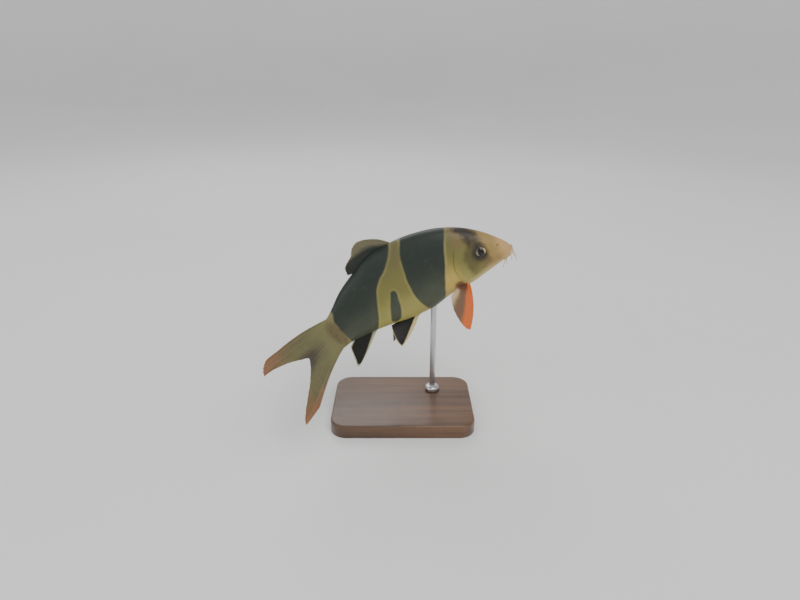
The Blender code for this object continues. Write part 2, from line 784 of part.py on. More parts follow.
def make_pectoral(word, side, cutter):
    seat, _, _, _ = side_seat(PECTORAL_STATION, PECTORAL_HEIGHT, side)
    fin = paired_fin(f"pectoral_fin_{word}", seat, PECTORAL_WAYS[word], PECTORAL_WIDTH, PECTORAL_CUP,
                     rays=12, key_rays=PECTORAL_RAYS, segments=9, bow=PECTORAL_BOW)
    return finish_fin(fin, "fin_orange", FIN_ORANGE, cutter)


def make_pelvic(word, side, cutter):
    seat, _ = belly_seat(PELVIC_STATION, PELVIC_ACROSS * side)
    fin = paired_fin(f"pelvic_fin_{word}", seat, PELVIC_WAYS[word], PELVIC_WIDTH, PELVIC_CUP,
                     rays=8, key_rays=PELVIC_RAYS, segments=8, bow=PELVIC_BOW)
    return finish_fin(fin, "fin_dark", SKIN_DARK, cutter)


# Stand

def make_base():
    bpy.ops.mesh.primitive_cube_add(size=1)
    base = bpy.context.object
    base.name = "stand_base"
    shape = bmesh.new()
    shape.from_mesh(base.data)
    bmesh.ops.translate(shape, vec=(0, 0, 0.5), verts=shape.verts)
    bmesh.ops.scale(shape, vec=BASE_SIZE, verts=shape.verts)
    upright = [e for e in shape.edges if abs(e.verts[0].co.z - e.verts[1].co.z) > BASE_SIZE[2] / 2]
    bmesh.ops.bevel(shape, geom=upright, offset=BASE_CORNER, segments=6, affect="EDGES", profile=0.5)
    rim = [e for e in shape.edges if all(abs(v.co.z - BASE_SIZE[2]) < 1e-6 for v in e.verts)]
    bmesh.ops.bevel(shape, geom=rim, offset=BASE_EDGE, segments=3, affect="EDGES", profile=0.5)
    shape.to_mesh(base.data)
    shape.free()
    paint(base, "wood", WOOD_BROWN, 0.4)
    for collection in list(base.users_collection):
        collection.objects.unlink(base)
    loach.objects.link(base)
    return base


def make_collar(foot):
    """The turned collar that holds the rod on the base."""
    profile = [(ROD_RADIUS + JOIN_GAP, COLLAR_HEIGHT), (COLLAR_RADIUS * 0.6, COLLAR_HEIGHT),
               (COLLAR_RADIUS, COLLAR_HEIGHT * 0.35), (COLLAR_RADIUS, 0), (ROD_RADIUS + JOIN_GAP, 0)]
    mesh = bpy.data.meshes.new("stand_collar")
    points = [(x, 0, z) for x, z in profile]
    count = len(points)
    mesh.from_pydata(points, [(i, (i + 1) % count) for i in range(count)], [])
    collar = bpy.data.objects.new("stand_collar", mesh)
    loach.objects.link(collar)
    collar.location = foot + Vector((0, 0, BASE_SIZE[2] + JOIN_GAP))
    turn = collar.modifiers.new("turn", "SCREW")
    turn.steps = 32
    turn.render_steps = 32
    turn.use_merge_vertices = True
    turn.merge_threshold = 0.00001
    bake_modifiers(collar)
    flip_faces(collar)
    paint(collar, "steel", STEEL_GREY, 0.3, 1.0)
    return collar


def make_rod(foot, carried):
    """An upright rod whose top follows the belly that it carries."""
    shape = bmesh.new()
    low = BASE_SIZE[2] + JOIN_GAP
    bmesh.ops.create_cone(shape, cap_ends=True, cap_tris=True, segments=20, radius1=ROD_RADIUS,
                          radius2=ROD_RADIUS, depth=1.0)
    carried_tree = BVHTree.FromPolygons([v.co for v in carried.data.vertices],
                                        [p.vertices for p in carried.data.polygons])
    for vert in shape.verts:
        top = vert.co.z > 0
        vert.co.x += foot.x
        vert.co.y += foot.y
        vert.co.z = low
        if top:
            hit = carried_tree.ray_cast(vert.co, Vector((0, 0, 1)))[0]
            vert.co.z = hit.z - JOIN_GAP
    rod = from_bmesh("stand_rod", shape, loach)
    paint(rod, "steel", STEEL_GREY, 0.3, 1.0)
    return rod


# Everything together

clear_scene()
loach = new_collection("clown_loach")
cutters = new_collection("cutters")
cutters.hide_render = True

body = make_body()
clearance = inflated(body, "clearance", JOIN_GAP)
nodes = part_body(body)
head, trunk, tail = nodes
lift_gill_cover(head)
head_cutter = inflated(head, "head_cutter", JOIN_GAP)
detail_head(head)
paint(head, "skin_head", SKIN_HEAD, 0.35)
paint(trunk, "skin_trunk", SKIN_YELLOW, 0.35)
paint(tail, "skin_tail", SKIN_DARK, 0.35)
nodes += [make_dorsal(clearance), make_anal(clearance)]
nodes.append(make_tail_lobe("tail_fin_upper", 1, UPPER_LOBE, clearance))
nodes.append(make_tail_lobe("tail_fin_lower", -1, LOWER_LOBE, clearance))
for word, side in (("right", -1), ("left", 1)):
    nodes.append(make_eye(f"eye_{word}", side))
    nodes.append(make_pectoral(word, side, clearance))
    nodes.append(make_pelvic(word, side, clearance))
    for kind, spec in BARBELS.items():
        nodes.append(make_barbel(f"{kind}_{word}", side, spec, head_cutter))
for node in nodes:
    pose_mesh(node)
rod_foot = posed(Vector((0.5 - ROD_STATION, 0, belly(ROD_STATION))) * BODY_LENGTH)
rod_foot.z = 0
make_base()
make_collar(rod_foot)
make_rod(rod_foot, trunk)
for helper in list(cutters.objects):
    bpy.data.objects.remove(helper, do_unlink=True)
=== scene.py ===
"""The looks of a life-size clown loach on its display stand.

Every piece is shaped on the straight fish, which faces +X with its left side towards +Y, and is then
bent and tilted into the swimming pose. Stations count from 0 at the snout to 1 at the root of the
tail fin. Lengths called shares are parts of BODY_LENGTH, and all others are in metres.
"""
import math

import bpy
import numpy as np
from mathutils import Matrix, Vector


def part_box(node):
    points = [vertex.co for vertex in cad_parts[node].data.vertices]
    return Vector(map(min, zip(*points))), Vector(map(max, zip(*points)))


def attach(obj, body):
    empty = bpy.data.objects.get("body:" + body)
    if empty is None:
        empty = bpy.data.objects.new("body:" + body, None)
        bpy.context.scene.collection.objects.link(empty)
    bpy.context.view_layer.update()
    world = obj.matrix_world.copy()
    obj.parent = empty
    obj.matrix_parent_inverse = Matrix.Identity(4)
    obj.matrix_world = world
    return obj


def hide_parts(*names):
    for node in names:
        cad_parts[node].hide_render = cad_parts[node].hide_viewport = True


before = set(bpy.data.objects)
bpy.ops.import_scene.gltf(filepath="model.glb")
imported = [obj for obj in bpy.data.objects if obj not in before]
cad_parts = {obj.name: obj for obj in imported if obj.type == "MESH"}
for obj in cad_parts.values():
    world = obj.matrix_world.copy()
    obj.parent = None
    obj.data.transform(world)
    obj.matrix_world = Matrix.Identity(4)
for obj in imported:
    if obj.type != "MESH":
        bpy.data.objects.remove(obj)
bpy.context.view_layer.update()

# Driving sizes
BODY_LENGTH = 0.150
BASE_CORNER = 0.012
BASE_EDGE = 0.0015
ROD_RADIUS = 0.0022
ROD_OVERLAP = 0.0006
COLLAR_RADIUS = 0.0055
COLLAR_HEIGHT = 0.004
COLLAR_EDGE = 0.0022
COLLAR_FOOT = 0.0003

# Swimming pose
PITCH = math.radians(25.5)
ROLL = math.radians(5.0)
YAW = math.radians(1.0)
HEAD_BEND = math.radians(9.0)
TRUNK_BEND = math.radians(36.0)
TAIL_BEND = math.radians(17.0)
MID_BODY = Vector((0.006, 0.012, 0.103))

# How the body's two ends are rounded, in shares
NOSE_LENGTH = 0.030
TAIL_END = 0.030

# Outline of the body: station and height above the axis, or half width
BACK = [(0.0, -0.036), (0.05, 0.022), (0.11, 0.081), (0.19, 0.137), (0.29, 0.180), (0.40, 0.204),
        (0.50, 0.211), (0.60, 0.211), (0.72, 0.180), (0.84, 0.140), (0.93, 0.095), (1.0, 0.073)]
BELLY = [(0.0, -0.073), (0.06, -0.091), (0.14, -0.114), (0.24, -0.139), (0.35, -0.152), (0.48, -0.183),
         (0.58, -0.180), (0.70, -0.149), (0.80, -0.119), (0.90, -0.093), (1.0, -0.085)]
HALF_WIDTH = [(0.0, 0.026), (0.05, 0.042), (0.11, 0.058), (0.19, 0.073), (0.30, 0.084), (0.42, 0.087),
              (0.55, 0.080), (0.68, 0.062), (0.80, 0.042), (0.90, 0.026), (1.0, 0.012)]
WIDEST_LEVEL = [(0.0, -0.056), (0.05, -0.044), (0.10, -0.033), (0.20, -0.022), (0.35, -0.015),
                (0.50, -0.010), (0.75, 0.0), (1, 0.0)]

# Edges of the markings on the flank: height and station
MIDDLE_FRONT = [(-0.19, 0.402), (-0.11, 0.372), (0.0, 0.328), (0.05, 0.308), (0.11, 0.286),
                (0.17, 0.254), (0.21, 0.235)]
MIDDLE_REAR = [(-0.19, 0.468), (-0.13, 0.496), (-0.06, 0.518), (0.02, 0.521), (0.10, 0.508),
               (0.16, 0.492), (0.21, 0.462)]
REAR_FRONT = [(-0.15, 0.776), (-0.05, 0.738), (0.0, 0.718), (0.06, 0.688), (0.10, 0.650),
              (0.13, 0.602), (0.18, 0.546), (0.21, 0.522)]
REAR_REAR = [(-0.09, 0.914), (0.0, 0.937), (0.05, 0.943), (0.09, 0.926)]
EYE_FRONT = [(-0.10, 0.190), (-0.08, 0.164), (-0.065, 0.134), (-0.04, 0.106), (-0.01, 0.106),
             (0.03, 0.110), (0.055, 0.113), (0.085, 0.126), (0.12, 0.148)]
EYE_REAR = [(-0.10, 0.222), (-0.06, 0.216), (0.0, 0.232), (0.04, 0.214), (0.07, 0.188),
            (0.10, 0.190), (0.125, 0.202), (0.16, 0.226)]
BANDS = {"middle_band": (MIDDLE_FRONT, MIDDLE_REAR), "rear_band": (REAR_FRONT, REAR_REAR),
         "eye_band": (EYE_FRONT, EYE_REAR)}
PATCH_STATION, PATCH_HEIGHT = 0.958, -0.002
PATCH_LENGTH, PATCH_TALL = 0.0066, 0.0135
SPOT_TOP = (0.617, 0.008)
SPOT_FOOT = (0.660, -0.115)
SPOT_HALF_WIDTH = 0.0305

# Rear edge of the gill cover: height and station
GILL_EDGE = [(-0.30, 0.190), (-0.130, 0.228), (-0.092, 0.260), (-0.054, 0.277), (-0.012, 0.279),
             (0.030, 0.269), (0.070, 0.251), (0.112, 0.236), (0.30, 0.205)]


def ramp(value):
    return np.clip(value, 0.0, 1.0)


def smooth_through(points):
    """A function that runs smoothly through (place, value) points, flat beyond the last."""
    places, values = np.array(points, float).T
    widths, rises = np.diff(places), np.diff(values)
    steps = rises / widths
    inner = np.where(steps[:-1] * steps[1:] > 0, (steps[:-1] + steps[1:]) / 2, 0.0)
    slopes = np.concatenate((steps[:1], inner, steps[-1:]))

    def value(place):
        place = np.clip(place, places[0], places[-1])
        i = np.clip(np.searchsorted(places, place, side="right") - 1, 0, len(widths) - 1)
        s = (place - places[i]) / widths[i]
        pull = slopes[i] * widths[i] * s * (1 - s) ** 2 - slopes[i + 1] * widths[i] * s * s * (1 - s)
        return values[i] + rises[i] * s * s * (3 - 2 * s) + pull

    return value


back = smooth_through(BACK)
belly = smooth_through(BELLY)
half_width = smooth_through(HALF_WIDTH)
widest_level = smooth_through(WIDEST_LEVEL)
gill_edge = smooth_through(GILL_EDGE)


def hump(distance, width):
    """1 at no distance, falling smoothly to nearly 0 two widths away."""
    return np.exp(-(distance / width) ** 2)


def unit(*parts):
    return Vector(parts).normalized()


# The straight body and its pose

def end_rounding(station):
    ahead = 1 - ramp(station / NOSE_LENGTH)
    behind = 1 - ramp((1 - station) / TAIL_END)
    return np.sqrt(np.maximum(0.0, 1 - np.maximum(ahead, behind) ** 2))


def fullness(station):
    return 2.0 + 0.25 * ramp(station / 0.3) * ramp((1.0 - station) / 0.4)


def skin(station, angle):
    """Points of the straight body's skin. Angle 0 is the back, a quarter turn the left side."""
    full = 2 / fullness(station)
    swell = end_rounding(station)
    level = widest_level(station)
    up, out = np.cos(angle), np.sin(angle)
    height = np.where(up > 0, back(station) - level, level - belly(station))
    y = half_width(station) * swell * np.copysign(np.abs(out) ** full, out)
    z = level + height * swell * np.copysign(np.abs(up) ** full, up)
    return np.stack((0.5 - station, y, z), -1) * BODY_LENGTH


def seat(station, angle):
    """A place on the skin, with the directions out of, along and up the skin there."""
    here = Vector(skin(station, angle))
    along = Vector(skin(station - 0.01, angle) - skin(station + 0.01, angle)).normalized()
    around = Vector(skin(station, angle - 0.05) - skin(station, angle + 0.05)).normalized()
    out = along.cross(around).normalized()
    middle = Vector(skin(station, 0.0) + skin(station, math.pi)) / 2
    if out.dot(here - middle) < 0:
        out = -out
    up = (Vector((0, 0, 1)) - out * out.z).normalized()
    ahead = out.cross(up)
    return here, out, ahead * math.copysign(1, ahead.x), up


def side_seat(station, height, side):
    level = widest_level(station)
    reach = (back(station) - level) if height > level else (level - belly(station))
    share = ramp(abs(height - level) / (reach * end_rounding(station)))
    up = math.copysign(share ** (fullness(station) / 2), height - level)
    return seat(station, side * math.acos(up))


def belly_seat(station, across):
    reach = half_width(station) * end_rounding(station)
    out = ramp(abs(across) / reach) ** (fullness(station) / 2)
    angle = math.pi - math.asin(min(out, 0.999))
    return seat(station, math.copysign(angle, across))


def turn_at(station):
    """How far the spine has turned to the fish's right on the way from mid-body to a station."""
    trunk = TRUNK_BEND * ramp((station - 0.45) / 0.35)
    tail = TAIL_BEND * ramp((station - 0.80) / 0.35)
    head = HEAD_BEND * ramp((0.45 - station) / 0.45)
    return trunk + tail - head


def spine_path():
    """Stations of the bent spine from ahead of the snout to past the tail, with their places."""
    step = 0.005
    stations = np.arange(-0.2, 1.6 + step, step)
    turns = turn_at(stations[:-1] + step / 2)
    x = np.concatenate(([0], -np.cumsum(np.cos(turns)) * step))
    y = np.concatenate(([0], -np.cumsum(np.sin(turns)) * step))
    middle = round(0.7 / step)
    return stations, x - x[middle], y - y[middle]


SPINE = spine_path()
TILT = Matrix.Rotation(YAW, 3, "Z") @ Matrix.Rotation(-PITCH, 3, "Y") @ Matrix.Rotation(ROLL, 3, "X")


def posed(points):
    """Points of the straight fish, in their places in the pose."""
    points = np.asarray(points)
    station = 0.5 - points[..., 0] / BODY_LENGTH
    x, y = (np.interp(station, SPINE[0], line) * BODY_LENGTH for line in SPINE[1:])
    turn = turn_at(station)
    side = points[..., 1]
    bent = np.stack((x - side * np.sin(turn), y + side * np.cos(turn), points[..., 2]), -1)
    return np.array(MID_BODY) + bent @ np.array(TILT).T


# Working with pieces

def select_only(piece):
    bpy.ops.object.select_all(action="DESELECT")
    piece.select_set(True)
    bpy.context.view_layer.objects.active = piece


def start(name, add, **sizes):
    """Adds a primitive at its size and place, alone and selected, with the place in its mesh."""
    bpy.ops.object.select_all(action="DESELECT")
    add(**sizes)
    piece = bpy.context.object
    piece.name = name
    piece.data.name = name
    bpy.ops.object.transform_apply(location=True, rotation=True, scale=True)
    return piece


def numbers_of(items, key, size, kind=float):
    """The same numbers of every point, edge or face, a row for each."""
    values = np.empty(len(items) * size, kind)
    items.foreach_get(key, values)
    return values.reshape(-1, size)


def points_of(piece):
    return numbers_of(piece.data.vertices, "co", 3)


def set_points(piece, points):
    piece.data.vertices.foreach_set("co", np.ravel(points))
    piece.data.update()


def mark(piece, name, values):
    """Keeps a number or a vector for every point of a piece, for its finish to read."""
    flat = values.ndim == 1
    layer = piece.data.attributes.new(name, "FLOAT" if flat else "FLOAT_VECTOR", "POINT")
    layer.data.foreach_set("value" if flat else "vector", np.ravel(values).astype(np.float32))


def edit_chosen(piece, kind, chosen, tool, **settings):
    """Runs an edit-mode tool on the chosen faces or edges of a piece."""
    select_only(piece)
    lists = {"VERT": piece.data.vertices, "EDGE": piece.data.edges, "FACE": piece.data.polygons}
    for name, items in lists.items():
        items.foreach_set("select", chosen if name == kind else np.zeros(len(items), bool))
    bpy.ops.object.mode_set(mode="EDIT")
    bpy.ops.mesh.select_mode(type=kind)
    tool(**settings)
    bpy.ops.object.mode_set(mode="OBJECT")


MERGE_GAP = 0.000002
SAME_LEVEL = 0.000001


def close_up(piece):
    """Merges the meeting points of a piece and turns its faces outwards."""
    select_only(piece)
    bpy.ops.object.mode_set(mode="EDIT")
    bpy.ops.mesh.select_all(action="SELECT")
    bpy.ops.mesh.remove_doubles(threshold=MERGE_GAP)
    bpy.ops.mesh.normals_make_consistent(inside=False)
    bpy.ops.object.mode_set(mode="OBJECT")


def finish_piece(piece, finish, slot, *nodes, sharp=60):
    """Shades and paints a piece, and puts it in the place of its CAD nodes."""
    select_only(piece)
    bpy.ops.object.shade_smooth_by_angle(angle=math.radians(sharp))
    piece.data.materials.clear()
    piece.data.materials.append(finish)
    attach(piece, "root")
    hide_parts(*nodes)


# Finishes

class Part:
    """A socket in a finish, which takes part in plain sums. Each sum adds a Math node."""

    def __init__(self, finish, socket):
        self.finish = finish
        self.socket = socket

    def maths(self, operation, *values):
        return self.finish.node("Math", {"operation": operation}, dict(enumerate(values)))

    def __add__(self, other):
        return self.maths("ADD", self, other)

    def __radd__(self, other):
        return self.maths("ADD", other, self)

    def __sub__(self, other):
        return self.maths("SUBTRACT", self, other)

    def __rsub__(self, other):
        return self.maths("SUBTRACT", other, self)

    def __mul__(self, other):
        return self.maths("MULTIPLY", self, other)

    def __rmul__(self, other):
        return self.maths("MULTIPLY", other, self)

    def __truediv__(self, other):
        return self.maths("DIVIDE", self, other)

    def __abs__(self):
        return self.maths("ABSOLUTE", self)

    def sine(self):
        return self.maths("SINE", self)

    def power(self, exponent):
        return self.maths("POWER", self, exponent)

    def most(self, other):
        return self.maths("MAXIMUM", self, other)

    def least(self, other):
        return self.maths("MINIMUM", self, other)

    def rise(self, low, high):
        """0 below low and 1 above high, smooth between them. High may be the lower of the two."""
        return self.finish.node("MapRange", {"interpolation_type": "SMOOTHSTEP"},
                                {"Value": self, "From Min": low, "From Max": high})


class Finish:
    """A material of a Principled shader, built node by node."""

    def __init__(self, name, fixed):
        self.material = bpy.data.materials.new(name)
        self.material.use_nodes = True
        self.tree = self.material.node_tree
        self.shader = self.tree.nodes["Principled BSDF"]
        for socket, value in fixed.items():
            self.shader.inputs[socket].default_value = value

    def node(self, kind, settings, sockets, out=0):
        """Adds a node: its settings first, then the values or links of its sockets."""
        made = self.tree.nodes.new("ShaderNode" + kind)
        for setting, value in settings.items():
            setattr(made, setting, value)
        for name, value in sockets.items():
            self.feed(made.inputs[name], value)
        return Part(self, made.outputs[out])

    def feed(self, socket, value):
        if isinstance(value, Part):
            self.tree.links.new(value.socket, socket)
        elif isinstance(value, tuple) and socket.type == "RGBA":
            socket.default_value = (*value, 1)
        else:
            socket.default_value = value

    def set(self, **sockets):
        for name, value in sockets.items():
            self.feed(self.shader.inputs[name.replace("_", " ")], value)

    def mark(self, name):
        """A number kept on the piece's points."""
        return self.node("Attribute", {"attribute_name": name}, {}, out=2)

    def place(self, name="straight"):
        """A vector kept on the piece's points."""
        return self.node("Attribute", {"attribute_name": name}, {}, out=1)

    def object_place(self):
        return self.node("TexCoord", {}, {}, out=3)

    def parts(self, vector):
        """The three numbers of a vector."""
        split = self.node("SeparateXYZ", {}, {"Vector": vector})
        return [Part(self, socket) for socket in split.socket.node.outputs]

    def noise(self, vector, scale, detail=2.0, rough=0.5):
        """Soft noise about 0, within about a half either way."""
        sizes = {"Scale": scale, "Detail": detail, "Roughness": rough}
        return self.node("TexNoise", {}, {"Vector": vector, **sizes}) - 0.5

    def mix(self, first, second, share):
        return self.node("Mix", {"data_type": "RGBA"}, {0: share, 6: first, 7: second}, out=2)

    def laid(self, colour, *layers):
        """A colour with other colours laid over it in turn, each by its share."""
        for over, share in layers:
            colour = self.mix(colour, over, share)
        return colour

    def stretched(self, vector, scale):
        return self.node("Mapping", {}, {"Vector": vector, "Scale": scale})

    def bump(self, height, distance, strength=1.0):
        return self.node("Bump", {}, {"Height": height, "Distance": distance, "Strength": strength})


# Colours of the fish and its stand
BAND_DARK = (0.019, 0.027, 0.022)
BAND_OLIVE = (0.086, 0.096, 0.060)
BACK_OLIVE = (0.130, 0.117, 0.043)
FLANK_YELLOW = (0.192, 0.174, 0.047)
BELLY_YELLOW = (0.390, 0.345, 0.100)
SHOULDER_GOLD = (0.590, 0.420, 0.095)
BORDER_CREAM = (0.500, 0.420, 0.170)
EYE_BAND_GREY = (0.028, 0.023, 0.017)
NAPE_TAN = (0.200, 0.125, 0.060)
SNOUT_OLIVE = (0.330, 0.225, 0.078)
SNOUT_TAN = (0.560, 0.340, 0.140)
THROAT_CREAM = (0.580, 0.430, 0.175)
PEDUNCLE_BROWN = (0.110, 0.074, 0.034)
LIP_PINK = (0.540, 0.330, 0.220)
# Painted shade for the creases: the gill groove, the eye socket's edge, the spine slot, the nostril pits
# and the mouth slit
CREASE_SHADE = (0.050, 0.034, 0.022)
# Painted shade, dark red, where the pectoral fins meet the body
ARMPIT_SHADE_RED = (0.130, 0.045, 0.025)
PUPIL_BLACK = (0.006, 0.006, 0.006)
FIN_BLACK = (0.006, 0.008, 0.007)
FIN_BROWN = (0.014, 0.013, 0.010)
FIN_GREY = (0.150, 0.146, 0.088)
FIN_EDGE = (0.500, 0.500, 0.300)
PELVIC_CREAM = (0.620, 0.500, 0.250)
TAIL_TAN = (0.195, 0.180, 0.080)
TAIL_GREY = (0.130, 0.126, 0.066)
TAIL_PINK = (0.310, 0.140, 0.078)
TAIL_SMUDGE = (0.045, 0.043, 0.038)
PECTORAL_ORANGE = (0.700, 0.148, 0.026)
PECTORAL_CREAM = (0.820, 0.660, 0.380)
# Painted shade on the rear of the pectoral fins' membrane
PECTORAL_SHADE_BROWN = (0.180, 0.098, 0.050)
BARBEL_PINK = (0.800, 0.640, 0.530)
BARBEL_OLIVE = (0.460, 0.330, 0.180)
IRIS_SILVER = (0.270, 0.260, 0.215)
IRIS_GOLD = (0.660, 0.540, 0.230)
IRIS_DARK = (0.050, 0.042, 0.030)
FLOOR_GLOW = (0.060, 0.060, 0.060)
WALL_GLOW = (0.240, 0.240, 0.242)


def skin_finish():
    """Olive yellow with three dark bands, edged in cream, under a fine satin grain."""
    skin_of = Finish("loach_skin", {"Coat Weight": 0.08, "Coat Roughness": 0.30, "Subsurface Weight": 0.06,
                                    "Subsurface Radius": (0.6, 0.35, 0.15), "Subsurface Scale": 0.0015,
                                    "Specular IOR Level": 0.28})
    place = skin_of.place()
    _, _, height = skin_of.parts(place)
    station = skin_of.mark("station")
    cloudy = skin_of.noise(place, 55, 3)
    mottled = skin_of.noise(place, 210, 4, 0.6)
    fine = skin_of.noise(place, 900, 3, 0.6)

    snout = skin_of.mix(SNOUT_OLIVE, SNOUT_TAN, (station + mottled * 0.05).rise(0.085, 0.03))
    nape = (height + mottled * 0.004).rise(0.006, 0.016) * (station + cloudy * 0.02).rise(0.27, 0.22)
    shoulder = station.rise(0.24, 0.30) * station.rise(0.41, 0.35)
    shoulder = shoulder * (height + cloudy * 0.006).rise(0.012, -0.013)
    throat = (height + station * 0.030 + mottled * 0.003).rise(-0.0055, -0.0115) * station.rise(0.36, 0.24)
    yellow = skin_of.laid(
        BACK_OLIVE,
        (FLANK_YELLOW, (height + cloudy * 0.012).rise(0.026, 0.002)),
        (BELLY_YELLOW, (height + cloudy * 0.012).rise(0.004, -0.020)),
        (snout, (station + mottled * 0.02).rise(0.19, 0.11)),
        (NAPE_TAN, nape * station.rise(0.10, 0.14) * 0.6),
        (SHOULDER_GOLD, shoulder * 0.9),
        (THROAT_CREAM, throat * (1.0 - station.rise(0.26, 0.30) * 0.7)),
        (TAIL_TAN, (station + cloudy * 0.02).rise(0.900, 0.950)),
        (PEDUNCLE_BROWN, brown_patch(skin_of, place, mottled)),
        (BAND_OLIVE, (fine * 1.2 + mottled).rise(0.16, 0.5) * 0.30))

    band_inside = skin_of.mark("middle_band").most(skin_of.mark("rear_band"))
    band_inside = band_inside.most(skin_of.mark("flank_spot") - 0.0002) + mottled * 0.0009 + fine * 0.0004
    border = band_inside.rise(-0.0026, -0.0007) * band_inside.rise(0.0002, -0.0006)
    border = border * station.rise(0.94, 0.88)
    # Painted light: the dark bands are painted lighter lower down the flank, towards the belly.
    lower = (height + cloudy * 0.02 + mottled * 0.010).rise(0.016, -0.030)
    band = skin_of.laid(BAND_DARK, (BAND_OLIVE, lower),
                        (BAND_OLIVE, (fine + mottled).rise(0.05, 0.5) * 0.4))
    eye_inside = skin_of.mark("eye_band") + mottled * 0.005 + fine * 0.001
    crown = (height + mottled * 0.006).rise(0.004, 0.018) * (0.40 + station.rise(0.15, 0.19) * 0.40)
    # Painted shade round the eye socket deepens the eye band there.
    eye_socket_shade = skin_of.mark("eye_gap").rise(0.0085, 0.0045) * 0.35
    depth = 0.50 + cloudy * 0.4 + mottled * 0.35 + crown + eye_socket_shade
    faded = eye_inside.rise(-0.0020, 0.0026) * depth
    # Painted shade, dark red, in the armpits behind the pectoral fins.
    armpit_shade = (skin_of.mark("armpit_shade") + mottled * 0.3).rise(0.20, 0.80)
    # The last layer below is painted shade in the creases of the skin.
    colour = skin_of.laid(
        yellow,
        (BORDER_CREAM, ramp_share(border * (0.20 + cloudy * 0.9), 1.0)),
        (band, band_inside.rise(-0.0007, 0.0009)),
        (EYE_BAND_GREY, ramp_share(faded * height.rise(-0.0155, -0.0112), 0.96)),
        (ARMPIT_SHADE_RED, armpit_shade * 0.85),
        (LIP_PINK, skin_of.mark("lips") * 0.5),
        (CREASE_SHADE, skin_of.mark("crease_shade").rise(0.30, 1.0) * 0.85))

    along, girth, _ = skin_of.parts(skin_of.place("rows"))
    along = along / SCALE_LENGTH + mottled * 0.35
    girth = girth / SCALE_WIDTH + mottled * 0.35
    scaled = station.rise(0.20, 0.30)
    scales = abs((along + girth).sine() * (along - girth).sine()).power(0.6) * scaled
    colour = skin_of.mix(colour, BAND_OLIVE, (1.0 - scales).rise(0.55, 1.0) * scaled * 0.22)
    skin_of.set(Base_Color=colour, Roughness=0.48 + fine * 0.14 + mottled * 0.08 - scales * 0.05,
                Normal=skin_of.bump(scales + fine * 0.35, 0.00006, 0.8))
    return skin_of.material


def brown_patch(finish, place, mottled):
    """The soft brown patch behind the rear band, on the skin and on the tail fin's root alike."""
    x, _, z = finish.parts(place)
    ahead = (x - (0.5 - PATCH_STATION) * BODY_LENGTH + z * 0.25) / PATCH_LENGTH
    up = (z - PATCH_HEIGHT * BODY_LENGTH) / PATCH_TALL
    return (ahead * ahead + up * up).rise(1.0, 0.15) * (mottled + 0.5).rise(0.05, 0.70) * 0.90


def ramp_share(part, most):
    """A part kept between 0 and most."""
    return part.most(0.0).least(most)


def fin_finish(name, colour_of, clear):
    """A translucent membrane over jointed rays, painted by colour_of(finish, share, out, crest, wander)."""
    fin_of = Finish(name, {"Coat Weight": 0.06, "Coat Roughness": 0.3, "Subsurface Weight": 0.15,
                           "Subsurface Radius": (0.6, 0.35, 0.15), "Subsurface Scale": 0.001,
                           "Specular IOR Level": 0.22})
    share, out, crest = fin_of.parts(fin_of.place("fan"))
    place = fin_of.place()
    wander = fin_of.noise(place, 260, 3)
    fine = fin_of.noise(place, 1400, 2)
    joints = (out * 300.0 + wander * 6.0).sine()
    colour = colour_of(fin_of, share, out, crest, wander)
    solid = (crest.rise(0.15, 0.8) * 0.7).most(out.rise(0.45, 0.10))
    alpha = clear + (1.0 - clear) * solid
    fin_of.set(Base_Color=colour, Roughness=0.46 + fine * 0.2, Alpha=ramp_share(alpha + wander * 0.12, 1.0),
               Normal=fin_of.bump(joints * crest * 0.3 + fine, 0.00005, 0.6))
    return fin_of.material


def dorsal_colour(fin_of, share, out, crest, wander):
    """Dark next to the back and behind, with a grey-brown translucent upper front."""
    edge = out + wander * 0.20 - share * 1.30
    return fin_of.laid(FIN_GREY, (BAND_DARK, edge.rise(0.30, -0.08)),
                       (FIN_BROWN, crest.rise(0.3, 0.9) * 0.12),
                       (FIN_EDGE, (out + wander * 0.1).rise(0.95, 1.0) * 0.25))


def black_membrane(fin_of, out, crest, wander):
    """Black, browner between the rays."""
    return fin_of.mix(FIN_BROWN, FIN_BLACK, (crest + wander * 0.8 - out * 0.2).rise(-0.35, 0.25))


def anal_colour(fin_of, share, out, crest, wander):
    """Black with pale edges along the first rays, the last ray and the rim."""
    first = (share + wander * 0.05 + out * 0.12).rise(0.26, 0.12)
    last = (share + wander * 0.05).rise(0.92, 0.98) * 0.7
    rim = (out + wander * 0.03).rise(0.930, 0.975) * 0.9
    pale = first.most(last).most(rim) * (out + wander * 0.2).rise(0.04, 0.20)
    return fin_of.mix(black_membrane(fin_of, out, crest, wander), FIN_EDGE, pale)


def pelvic_colour(fin_of, share, out, crest, wander):
    """Black with a cream wedge along the first rays, which narrows to a line at the tip."""
    wedge = (share + out * 0.55 + wander * 0.06).rise(0.58, 0.46)
    line = (share + wander * 0.03).rise(0.07, 0.03) * 0.7
    rim = (out + wander * 0.03).rise(0.965, 0.995) * 0.6
    cream = wedge.most(line).most(rim)
    return fin_of.mix(black_membrane(fin_of, out, crest, wander), PELVIC_CREAM, cream)


def tail_colour(fin_of, share, out, crest, wander):
    """Tan at the root, greyer between the rays, pink towards the tips, with a smudge at the fork."""
    inner = 1.0 - abs(share * 2.0 - 1.0)
    pink = (out + wander * 0.20 - inner * 0.75).rise(0.38, 0.90)
    smudge = (inner + wander * 0.25).rise(0.62, 0.95) * (out + wander * 0.25).rise(0.35, 0.85)
    place = fin_of.place()
    patch = brown_patch(fin_of, place, fin_of.noise(place, 210, 4, 0.6))
    return fin_of.laid(TAIL_GREY, (TAIL_TAN, (crest * 0.4 + wander * 0.6).rise(-0.3, 0.6)),
                       (TAIL_TAN, out.rise(0.45, 0.10)), (TAIL_PINK, pink * 0.80),
                       (TAIL_SMUDGE, smudge * 0.80), (PEDUNCLE_BROWN, patch))


